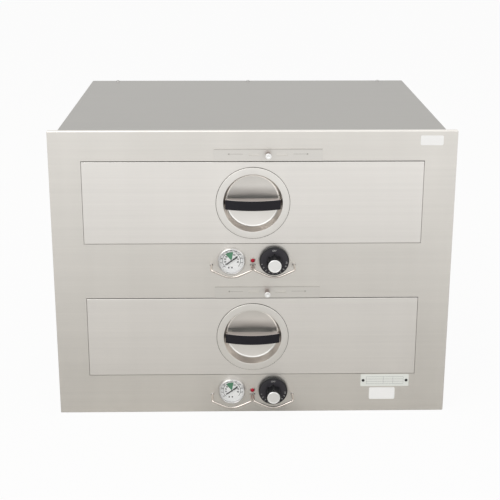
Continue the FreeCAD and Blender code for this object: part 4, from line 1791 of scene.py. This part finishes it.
@dataclass
class Thermometer(Assembly):
    """The dial thermometer: bezel, dial, needle and glass."""

    case: float = 0.026
    proud: float = 0.0095
    wall: float = 0.0016
    barrel: float = 0.0215
    barrel_depth: float = 0.012
    probe_lap: float = 0.0002
    floor: float = 0.0025
    dial: float = 0.0243
    dial_bore: float = 0.0013
    dial_top: float = 0.0030
    ring: float = 0.0169
    ring_half_width: float = 0.0004
    ring_arcs: tuple[tuple[float, float], ...] = ((131.0, 99.0), (318.0, 102.0))
    safe_arc: tuple[float, float] = (79.0, 52.0)
    tick_radii: tuple[float, float] = (0.0207, 0.0217)
    tick_degrees: range = range(-36, 230, 14)
    tick_sweep: float = 1.6
    inner_scale: DialScale = DialScale(0.0123, 0.0030, 0.05, (
        ("10", 214), ("20", 190), ("30", 166), ("40", 142),
        ("50", 66), ("60", 38), ("70", 12), ("80", -14),
    ))
    outer_scale: DialScale = DialScale(0.0196, 0.0022, 0.04, (
        ("50", 218), ("75", 193), ("100", 168), ("125", 143), ("150", 118),
        ("175", 92), ("200", 66), ("225", 40), ("250", 14), ("275", -12),
    ))
    bars: tuple[float, float] = (-0.0052, 0.0008)
    bar_drop: float = 0.0152
    bar_width: float = 0.0026
    bar_height: float = 0.0030
    ink: float = 0.00006
    tip: float = 0.0145
    tail: float = 0.0125
    hub: float = 0.0017
    shaft: float = 0.0008
    shaft_end: float = 0.0007
    needle_back: float = 0.0042
    needle_front: float = 0.0048
    rest_degrees: float = 216.0
    glass_back: float = 0.0072
    glass_front: float = 0.0087

    def centre(self) -> Vector:
        """The middle of the lower dial, on the front plane."""
        return self.warmer.centre("lower_thermometer_lens")

    def spot(self, radius: float, degrees: float) -> Vector:
        """A point on the dial's face, at an angle from +X towards +Z."""
        way = outward(math.radians(degrees))
        return self.centre() + way * radius - Axis.Y.value * self.dial_top

    def arc(self, inner: float, outer: float, start: float, sweep: float, steps: int) -> Piece:
        """Prints an arc on the dial.

        Args:
            inner: its inner radius.
            outer: its outer radius.
            start: the angle in degrees at which it starts.
            sweep: the degrees that it spans.
            steps: how many steps it has.

        Returns:
            The new object.
        """
        profile = flat_ring(inner, outer, self.dial_top - self.ink, self.dial_top + self.ink)
        return turned(profile, self.centre(), steps, math.radians(start), math.radians(sweep))

    def build(self) -> None:
        """Makes each piece of the thermometer."""
        self.build_case()
        self.build_dial()
        self.build_needle()
        self.build_glass()

    def build_case(self) -> None:
        """Spins the bezel, and keeps the capillary and bulb behind it."""
        case, proud, inner = self.case, self.proud, self.case - self.wall
        profile = [
            (0, -self.barrel_depth),
            (self.barrel, -self.barrel_depth),
            (self.barrel, 0),
            (case - 0.0003, 0),
            (case, 0.0004),
            (case, proud - 0.0024),
            (case - 0.0004, proud - 0.0011),
            (case - 0.0011, proud - 0.0003),
            (case - 0.0019, proud),
            (inner - 0.0004, proud - 0.0001),
            (inner - 0.0008, proud - 0.0005),
            (inner - 0.0008, proud - 0.0008),
            (inner, proud - 0.0008),
            (inner, self.floor),
            (0, self.floor),
        ]
        bezel = shade(turned(profile, self.centre(), steps=96), 30.0)
        finish = self.palette.chrome
        replaced = ("thermometer_case",)
        self.warmer.fit_levels(bezel, "thermometer_bezel", finish, "bezel_chrome", "", replaced)
        probe = self.warmer.worked_copy("lower_thermometer_case", 0.0)
        with editing(probe):
            bpy.ops.mesh.select_all(action="SELECT")
            cut_y = self.warmer.front_y + self.barrel_depth - self.probe_lap
            bpy.ops.mesh.bisect(
                plane_co=(0, cut_y, 0), plane_no=(0, -1, 0), use_fill=True, clear_outer=True
            )
        self.warmer.fit_levels(probe, "thermometer_probe", finish, "bezel_chrome", "", replaced)

    def build_dial(self) -> None:
        """Makes the dial plate and everything printed on it."""
        profile = flat_ring(self.dial_bore, self.dial, self.floor, self.dial_top)
        plate = shade(turned(profile, self.centre(), steps=72))
        finish = self.palette.dial
        self.warmer.fit_levels(
            plate, "dial_plate", finish, "white_plastic", "", ("thermometer_dial",)
        )
        wedge = self.arc(0.0016, self.ring + 0.0002, *self.safe_arc, 16)
        self.warmer.fit_levels(wedge, "dial_safe_zone", self.palette.green, "white_plastic")
        inner, outer = self.ring - self.ring_half_width, self.ring + self.ring_half_width
        marks = [self.arc(inner, outer, start, sweep, 30) for start, sweep in self.ring_arcs]
        for start in self.tick_degrees:
            marks.append(self.arc(*self.tick_radii, start, self.tick_sweep, 1))
        for scale in (self.inner_scale, self.outer_scale):
            for words, degrees in scale.numbers:
                place = self.spot(scale.radius, degrees)
                marks.append(lettering(words, scale.size, place, weight=scale.weight))
        size = Vector((self.bar_width, self.ink, self.bar_height))
        for x in self.bars:
            low = Vector((x - self.bar_width / 2, -self.dial_top - self.ink, -self.bar_drop))
            marks.append(block(self.centre() + low, self.centre() + low + size))
        self.warmer.fit_levels(join(marks), "dial_marks", self.palette.ink, "black_plastic")

    def build_needle(self) -> None:
        """Makes the pointer with its counterweight, hub and shaft."""
        back, front = self.needle_back, self.needle_front
        along = outward(math.radians(self.rest_degrees))
        across = Vector((-along.z, 0, along.x))
        middle = self.centre()
        side = [
            (-self.tail, 0.0014),
            (-0.0040, 0.0014),
            (-0.0030, 0.0006),
            (0.0005, 0.0006),
            (0.0015, 0.0011),
            (0.0095, 0.0010),
            (self.tip, 0.0002),
        ]
        outline = side + [(x, -y) for x, y in reversed(side)]
        base = middle - Axis.Y.value * back
        blade = traced([base + along * x + across * y for x, y in outline])
        with editing(blade, "VERT"):
            bpy.ops.mesh.select_all(action="SELECT")
            bpy.ops.mesh.edge_face_add()
            up = Axis.Y.value * (back - front)
            bpy.ops.mesh.extrude_region_move(TRANSFORM_OT_translate={"value": up})
        hub_profile = [
            (0, 0.0056),
            (self.hub * 0.5, 0.0054),
            (self.hub, 0.0049),
            (self.hub, back),
            (self.shaft, back),
            (self.shaft, self.shaft_end),
            (0, self.shaft_end),
        ]
        needle = shade(join([clean(blade), turned(hub_profile, middle, steps=32)]), 30.0)
        finish = self.palette.needle
        self.warmer.fit_levels(
            needle, "needle_pointer", finish, "black_plastic", "needle", ("thermometer_needle",)
        )

    def build_glass(self) -> None:
        """Spins the glass, a little crowned."""
        edge = self.case - self.wall - 0.0001
        back, front = self.glass_back, self.glass_front
        profile = [
            (0, back),
            (edge, back),
            (edge, front - 0.0006),
            (edge * 0.8, front - 0.0003),
            (edge * 0.4, front),
            (0, front),
        ]
        glass = shade(turned(profile, self.centre(), steps=72), 60.0)
        self.warmer.fit_levels(
            glass, "dial_glass", self.palette.lens, "lens_glass", "", ("thermometer_lens",)
        )


@dataclass
class ThermostatKnob(Assembly):
    """The thermostat's knob: a marked skirt, a lobed grip and a bright cap."""

    skirt: float = 0.028
    skirt_back: float = 0.0035
    skirt_front: float = 0.009
    rim: float = 0.0025
    plate: float = 0.003
    hub: float = 0.007
    grip: float = 0.0126
    front: float = 0.035
    lobes: int = 7
    lobe: float = 0.0024
    reach: float = 0.015
    lobe_round: float = 0.0006
    cap: float = 0.0123
    cap_thickness: float = 0.0015
    bore: float = 0.00305
    bore_end: float = 0.0225
    dial_sink: float = 0.0002
    dial_rise: float = 0.00015
    dial_edge: float = 0.0022
    off_radius: float = 0.0212
    mark_radius: float = 0.0232
    mark_size: float = 0.0034
    first_mark: float = 193.0
    mark_step: float = 18.0
    marks: int = 10

    def centre(self) -> Vector:
        """The middle of the lower knob, on the front plane."""
        return self.warmer.centre("lower_knob_cap")

    def build(self) -> None:
        """Makes the knob, its marks and its cap."""
        self.build_body()
        self.build_marks()
        self.build_cap()

    def build_cap(self) -> None:
        """Spins the bright cap."""
        back, front = self.front, self.front + self.cap_thickness
        profile = [
            (0, back),
            (self.cap - 0.0004, back),
            (self.cap, back + 0.0004),
            (self.cap, front - 0.0006),
            (self.cap - 0.0005, front - 0.0001),
            (self.cap - 0.0012, front),
            (self.cap - 0.0017, front - 0.0003),
            (0, front - 0.0003),
        ]
        cap = shade(turned(profile, self.centre(), steps=72), 30.0)
        self.warmer.fit_levels(
            cap, "knob_disc", self.palette.satin, "bezel_chrome", "knob", ("knob_cap",)
        )

    def build_body(self) -> None:
        """Spins the skirt and grip, and adds the grip's lobes."""
        back, front, face = self.skirt_back, self.skirt_front, self.front
        profile = [
            (self.bore, back),
            (self.hub, back),
            (self.hub, front - self.plate),
            (self.skirt - self.rim, front - self.plate),
            (self.skirt - self.rim, back),
            (self.skirt - 0.0003, back),
            (self.skirt, back + 0.0004),
            (self.skirt, front - 0.0020),
            (self.skirt - 0.0006, front - 0.0007),
            (self.skirt - 0.0020, front),
            (self.grip + 0.0006, front),
            (self.grip, front + 0.0006),
            (self.grip, face),
            (0, face),
            (0, self.bore_end),
            (self.bore, self.bore_end),
            (self.bore, back),
        ]
        body = turned(profile, self.centre(), steps=84)
        start = Axis.Y.value * (front - 0.0005)
        end = Axis.Y.value * (face - self.cap_thickness)
        lobes = []
        for index in range(self.lobes):
            way = outward(math.tau * (0.25 + index / self.lobes))
            middle = self.centre() + way * (self.reach - self.lobe)
            lobe = cylinder(self.lobe, middle - start, middle - end, 24)
            lobes.append(round_edges(lobe, self.lobe_round, degrees=SQUARE))
        combine(body, lobes, "UNION")
        finish = self.palette.knob
        self.warmer.fit_levels(
            shade(body, 35.0), "knob_body", finish, "black_plastic", "knob", ("thermostat_knob",)
        )

    def build_marks(self) -> None:
        """Sets a dial ring on the skirt, lighter than the knob to paint the sheen on the skirt's
        face, and prints OFF and ten numbers on it.
        """
        low, high = self.skirt_front - self.dial_sink, self.skirt_front + self.dial_rise
        inner, outer = self.grip + 0.0002, self.skirt - self.dial_edge
        ring = [
            (inner, low),
            (outer, low),
            (outer, high - 0.0001),
            (outer - 0.0001, high),
            (inner, high),
            (inner, low),
        ]
        dial = shade(turned(ring, self.centre(), steps=84), 60.0)
        self.warmer.fit_levels(dial, "knob_dial", self.palette.knob_dial, "black_plastic", "knob")
        face = self.centre() - Axis.Y.value * high
        marks = [lettering("OFF", self.mark_size, face + Axis.Z.value * self.off_radius)]
        for index in range(self.marks):
            angle = math.radians(self.first_mark + self.mark_step * index)
            place = face + outward(angle) * self.mark_radius
            marks.append(lettering(str(index + 1), self.mark_size, place, math.pi / 2 - angle))
        finish = self.palette.white_mark
        self.warmer.fit_levels(join(marks), "knob_marks", finish, "white_plastic", "knob")


@dataclass
class PilotLamp(Assembly):
    """The pilot lamp between the controls."""

    barrel: float = 0.004
    barrel_length: float = 0.016
    bezel: float = 0.005
    bezel_rise: float = 0.002
    lens: float = 0.0039
    lens_proud: float = 0.0056
    lens_gap: float = 0.00005
    lens_back: float = 0.0005
    dome_steps: int = 8

    def build(self) -> None:
        """Spins the bezel with its barrel, and the red lens."""
        centre = self.warmer.centre("lower_pilot_lamp")
        lens = self.lens
        profile = [
            (0, -self.barrel_length),
            (self.barrel - 0.0004, -self.barrel_length),
            (self.barrel, -self.barrel_length + 0.0004),
            (self.barrel, 0),
            (self.bezel, 0),
            (self.bezel, self.bezel_rise - 0.0011),
            (self.bezel - 0.0004, self.bezel_rise - 0.0003),
            (self.bezel - 0.0011, self.bezel_rise),
            (lens, self.bezel_rise - 0.0004),
            (lens, 0.0004),
            (0, 0.0004),
        ]
        bezel = shade(turned(profile, centre, steps=48), 30.0)
        finish, replaced = self.palette.pilot_rim, ("pilot_lamp",)
        self.warmer.fit_levels(bezel, "pilot_bezel", finish, "bezel_chrome", "", replaced)
        width = lens - self.lens_gap
        dome = [(0, self.lens_back), (width, self.lens_back)]
        for index in range(self.dome_steps + 1):
            angle = math.pi / 2 * index / self.dome_steps
            height = self.lens_proud - lens + lens * math.sin(angle)
            dome.append((width * math.cos(angle), height))
        glass = shade(turned(dome, centre, steps=40), 50.0)
        finish = self.palette.lamp
        self.warmer.fit_levels(glass, "pilot_lens", finish, "pilot_red", "", replaced)


@dataclass
class ControlGuards(Assembly):
    """The bent rods that guard the two controls."""

    rod: float = 0.002
    half_width: float = 0.0377
    proud: float = 0.030
    drop: float = 0.0095
    dip: float = 0.017
    corner: float = 0.005
    belly: float = 0.036
    weld: float = 0.0011

    def build(self) -> None:
        """Bends a rod for each control and welds its ends to the front sheet."""
        out = -Axis.Y.value * self.proud
        side = Axis.X.value * self.half_width
        bead = [
            (self.rod * 0.9, 0),
            (self.rod + self.weld, 0),
            (self.rod + self.weld * 0.6, self.weld * 0.5),
            (self.rod * 0.98, self.weld * 1.3),
            (self.rod * 0.9, 0),
        ]
        rods, welds = [], []
        for node in ("lower_thermometer_lens", "lower_knob_cap"):
            middle = self.warmer.centre(node) - Axis.Z.value * self.drop
            corners = [
                middle - side,
                middle - side + out,
                middle + out - Axis.Z.value * self.dip,
                middle + side + out,
                middle + side,
            ]
            rods.append(bent_rod(self.rod, corners, [self.corner, self.belly, self.corner]))
            welds += [turned(bead, end, steps=28) for end in (middle - side, middle + side)]
        finish = self.palette.rod
        self.warmer.fit_levels(
            join(rods), "guard_rods", finish, "bezel_chrome", "", ("control_guards",)
        )
        finish = self.palette.screw
        self.warmer.fit_levels(shade(join(welds), 50.0), "guard_welds", finish, "bezel_chrome")


@dataclass
class Vent(Assembly):
    """The sliding vent plate, its etched arrows and its thumb knob."""

    slide_gap: float = 0.0003
    thickness: float = 0.0012
    slot_offset: float = 0.0255
    slot_half_length: float = 0.0105
    slot_half_height: float = 0.00325
    cutter_half_depth: float = 0.003
    cutter_sides: int = 32
    edge_round: float = 0.0003
    screw: float = 0.0025
    neck: float = 0.0042
    barrel: float = 0.0052
    barrel_length: float = 0.0183
    button: float = 0.0055
    button_thickness: float = 0.0012
    dimple: float = 0.0006
    washer: float = 0.008
    washer_thickness: float = 0.0015
    front_sheet: float = 0.0015
    # The dark line along the plate's top edge is painted shadow.
    shadow_line_inset: float = 0.0006
    shadow_line_height: float = 0.0008
    arrow_offset: float = 0.046
    arrow_length: float = 0.026
    arrow_half_line: float = 0.0003
    arrow_head: float = 0.0022

    def centre(self) -> Vector:
        """The middle of the lower thumb knob, on the front plane."""
        return self.warmer.centre("lower_vent_knob")

    def build(self) -> None:
        """Makes the plate, its etching, a painted shadow line along its top, and the knob."""
        self.build_plate()
        self.build_etching_and_shadow_line()
        self.build_knob()

    def build_plate(self) -> None:
        """Cuts the plate's two slots and its screw hole."""
        centre = self.centre()
        plate = block(*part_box("lower_vent_plate"))
        through = Axis.Y.value * self.cutter_half_depth
        tools = [cylinder(self.screw, centre + through, centre - through, self.cutter_sides)]
        for offset in (-self.slot_offset, self.slot_offset):
            tools.append(slot_cutter(
                centre + Axis.X.value * offset,
                self.slot_half_length,
                self.slot_half_height,
                self.cutter_half_depth,
                self.cutter_sides,
            ))
        combine(plate, tools)
        round_edges(plate, self.edge_round, degrees=SQUARE)
        finish = self.palette.vent
        self.warmer.fit_levels(
            shade(plate), "vent_slide", finish, "front_steel", "vent_slide", ("vent_plate",)
        )

    def build_etching_and_shadow_line(self) -> None:
        """Etches an arrow that points outwards near each end, and lays a dark line along the top
        edge that paints the shadow there.
        """
        low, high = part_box("lower_vent_plate")
        face, centre = low.y, self.centre()
        half = Axis.Z.value * self.arrow_half_line + Axis.Y.value * INK
        etching_and_shadow_line = []
        for side in (-1, 1):
            tail = Vector((centre.x + side * self.arrow_offset, face, centre.z))
            tip = tail + Axis.X.value * side * self.arrow_length
            left, right = sorted((tail, tip), key=lambda end: end.x)
            etching_and_shadow_line.append(block(left - half, right + half))
            bpy.ops.object.select_all(action="DESELECT")
            bpy.ops.mesh.primitive_cylinder_add(
                vertices=3,
                radius=self.arrow_head,
                depth=2 * INK,
                location=tip,
                rotation=(math.pi / 2, 0, 0),
            )
            head = bpy.context.active_object
            turn = -side * math.pi / 2
            bpy.ops.transform.rotate(value=turn, orient_axis="Y", center_override=tip)
            settle(head)
            etching_and_shadow_line.append(head)
        # A dark line along the plate's top edge: painted shadow.
        edge = self.shadow_line_inset
        left, right, top = low.x + edge, high.x - edge, high.z - edge
        start = Vector((left, face - INK, top - self.shadow_line_height))
        etching_and_shadow_line.append(block(start, Vector((right, face + INK, top))))
        finish = self.palette.etch_and_shadow_line
        self.warmer.fit_levels(join(etching_and_shadow_line), "vent_arrows", finish, "front_steel", "vent_slide")

    def build_knob(self) -> None:
        """Spins the thumb knob's bright end, and its dark barrel with the screw and washer."""
        face = self.slide_gap + self.thickness
        end = face + self.barrel_length
        top = end + self.button_thickness
        washer = -self.front_sheet - self.slide_gap
        button = [
            (0, top - self.dimple),
            (self.button * 0.30, top - self.dimple),
            (self.button * 0.42, top),
            (self.button - 0.0004, top),
            (self.button, top - 0.0004),
            (self.button, end + 0.0002),
            (self.button - 0.0002, end),
            (0, end),
        ]
        stem = [
            (0, end + 0.0002),
            (self.barrel, end + 0.0002),
            (self.barrel, end - 0.0040),
            (self.neck, face + 0.0020),
            (self.neck, face),
            (self.screw, face),
            (self.screw, washer),
            (self.washer, washer),
            (self.washer, washer - self.washer_thickness),
            (0, washer - self.washer_thickness),
        ]
        replaced = ("vent_knob",)
        for profile, name, finish in (
            (button, "vent_button", self.palette.satin),
            (stem, "vent_stem", self.palette.stem),
        ):
            piece = shade(turned(profile, self.centre(), steps=48))
            self.warmer.fit_levels(piece, name, finish, "bezel_chrome", "vent_slide", replaced)


@dataclass
class Interior(Assembly):
    """Everything inside the casing, shaped as its nodes are."""

    def build(self) -> None:
        """Dresses the cavities, slides, pans, elements and pads of both levels."""
        colours = self.palette
        worked = {
            "cavity_liner": (colours.liner, "liner_steel", ""),
            "drawer_tracks": (colours.slide, "slide_steel", ""),
            "drawer_rails": (colours.slide, "slide_steel", "drawer"),
            "drawer_frame": (colours.slide, "slide_steel", "drawer"),
            "food_pan": (colours.pan, "pan_steel", "drawer"),
            "drawer_inner_panel": (colours.liner, "liner_steel", "drawer"),
            "front_rollers": (colours.roller, "white_plastic", "front_roller_pair"),
            "rear_rollers": (colours.roller, "white_plastic", "rear_roller_pair"),
            "heating_element": (colours.element, "element_steel", ""),
        }
        for node, (finish, slot, body) in worked.items():
            piece = self.warmer.worked_copy(f"lower_{node}")
            self.warmer.fit_levels(piece, f"{node}_worked", finish, slot, body, (node,))
        carried = {
            "insulation": colours.wool,
            "drawer_insulation": colours.wool,
            "thermostat": colours.chrome,
        }
        for level in LEVELS:
            for node, finish in carried.items():
                self.dress(f"{level}_{node}", finish)
        self.dress("terminal_block", colours.gland)

    def dress(self, node: str, finish: Material) -> None:
        """Paints a node that is shown as it is."""
        for slot in self.warmer.nodes[node].material_slots:
            slot.material = finish


# ---- Studio ----


@dataclass
class Studio:
    """The camera, floor, world and lamps."""

    place: Point = (-0.0406, -2.1376, 0.9794)
    yaw: float = 0.019
    pitch: float = math.radians(15.95)
    roll: float = 0.002
    focal_pixels: float = 1041.5
    frame_pixels: float = 500.0
    shift: float = -0.12
    sensor: float = 36.0
    floor_colour: Colour = (0.60, 0.59, 0.57)
    floor_size: float = 60.0
    floor_white: float = 0.95
    near_floor: float = 0.7
    far_floor: float = 2.3
    world_colour: Colour = (1.0, 0.995, 0.985)
    world_strength: float = 0.55
    lamp_size: float = 2.8
    lamp_aim: Point = (0, 0, 0.28)

    def build(self) -> None:
        """Sets up everything that isn't part of the warmer."""
        self.build_camera()
        self.build_floor()
        self.build_world()
        self.build_lamps()
        bpy.context.scene.view_settings.view_transform = "Standard"

    def build_camera(self) -> None:
        """Places the camera from its yaw, pitch and roll."""
        bpy.ops.object.camera_add(location=self.place)
        camera = bpy.context.active_object
        camera.name = "studio_camera"
        ahead = Vector((
            math.sin(self.yaw) * math.cos(self.pitch),
            math.cos(self.yaw) * math.cos(self.pitch),
            -math.sin(self.pitch),
        ))
        level = Vector((math.cos(self.yaw), -math.sin(self.yaw), 0))
        above = level.cross(ahead)
        right = level * math.cos(self.roll) + above * math.sin(self.roll)
        up = above * math.cos(self.roll) - level * math.sin(self.roll)
        turn = Matrix((right, up, -ahead)).transposed()
        camera.rotation_euler = turn.to_euler()
        camera.data.sensor_width = self.sensor
        camera.data.lens = self.focal_pixels / self.frame_pixels * self.sensor
        camera.data.shift_y = self.shift
        bpy.context.scene.camera = camera

    def build_floor(self) -> None:
        """Lays a wide pale floor that keeps the warmer's shadow; in reflections it shows its lit
        colour near the warmer and white further out, painted shade for the lower front.
        """
        graph = Graph("studio_floor")
        mottle = graph.speckle(2)
        colour = graph.tint(self.floor_colour, 0.99 + 0.02 * mottle)
        mat = graph.node("BsdfDiffuse", {"Color": colour})
        white = graph.node("Emission", {"Color": WHITE, "Strength": 1.0})
        away = graph.node("VectorMath", {0: graph.place()}, out="Value", operation="LENGTH")
        # Painted shade in reflections: glossy rays see the floor's lit colour near the warmer and
        # white far away, which darkens the lower front.
        far = graph.ramp(away, self.near_floor, self.far_floor, 0.0, 1.0)
        seen = graph.ray("Camera") * self.floor_white
        mirrored = graph.ray("Glossy") * far
        through = graph.ray("Transmission") * self.floor_white
        share = seen + mirrored + through
        bpy.ops.object.select_all(action="DESELECT")
        bpy.ops.mesh.primitive_plane_add(size=self.floor_size, location=(0, 0, 0))
        floor = bpy.context.active_object
        floor.name = "studio_floor"
        material = graph.close(graph.node("MixShader", {0: share, 1: mat, 2: white}))
        floor.data.materials.append(material)
        floor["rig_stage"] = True

    def build_world(self) -> None:
        """Lights the scene evenly, and shows white behind it and in reflections."""
        graph = Graph("studio_world", Holder.WORLD)
        seen = graph.math("MAXIMUM", graph.ray("Camera"), graph.ray("Glossy"))
        clear = graph.math("MAXIMUM", seen, graph.ray("Transmission"))
        sockets = {"Color": self.world_colour, "Strength": self.world_strength}
        light = graph.node("Background", sockets)
        white = graph.node("Background", {"Color": WHITE, "Strength": 1.0})
        mixed = graph.node("MixShader", {0: clear, 1: light, 2: white})
        bpy.context.scene.world = graph.close(mixed)

    def build_lamps(self) -> None:
        """Hangs soft lamps: a key at the upper left, and a weaker fill and top."""
        self.lamp("key_lamp", (-1.7, -2.1, 2.7), 56.0)
        self.lamp("fill_lamp", (2.0, -2.4, 1.8), 20.0)
        self.lamp("top_lamp", (0.0, 0.6, 2.9), 18.0)

    def lamp(self, name: str, place: Point, power: float) -> None:
        """Hangs one square area lamp that faces the warmer.

        Args:
            name: its name.
            place: where it hangs.
            power: its power in watts.
        """
        bpy.ops.object.light_add(type="AREA", location=place)
        lamp = bpy.context.active_object
        lamp.name = name
        lamp.data.shape = "SQUARE"
        lamp.data.size = self.lamp_size
        lamp.data.energy = power
        aim = Vector(self.lamp_aim) - Vector(place)
        lamp.rotation_euler = aim.to_track_quat("-Z", "Y").to_euler()


def corners() -> list[list[float]]:
    """The shown object's lowest and highest corners, as plain numbers."""
    return [list(corner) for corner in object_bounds()]


def main() -> None:
    """Builds the warmer's pieces in order, then the studio."""
    logging.basicConfig(level=logging.INFO, format="%(name)s: %(message)s")
    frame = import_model()
    bpy.ops.object.select_all(action="DESELECT")
    warmer = Warmer(frame["nodes"])
    palette = Palette()
    for assembly in (
        FrontSheet,
        Casing,
        Labels,
        DrawerFront,
        Handle,
        Thermometer,
        ThermostatKnob,
        PilotLamp,
        ControlGuards,
        Vent,
        Interior,
    ):
        assembly(warmer, palette).build()
    Studio().build()


if __name__ == "__main__":
    main()
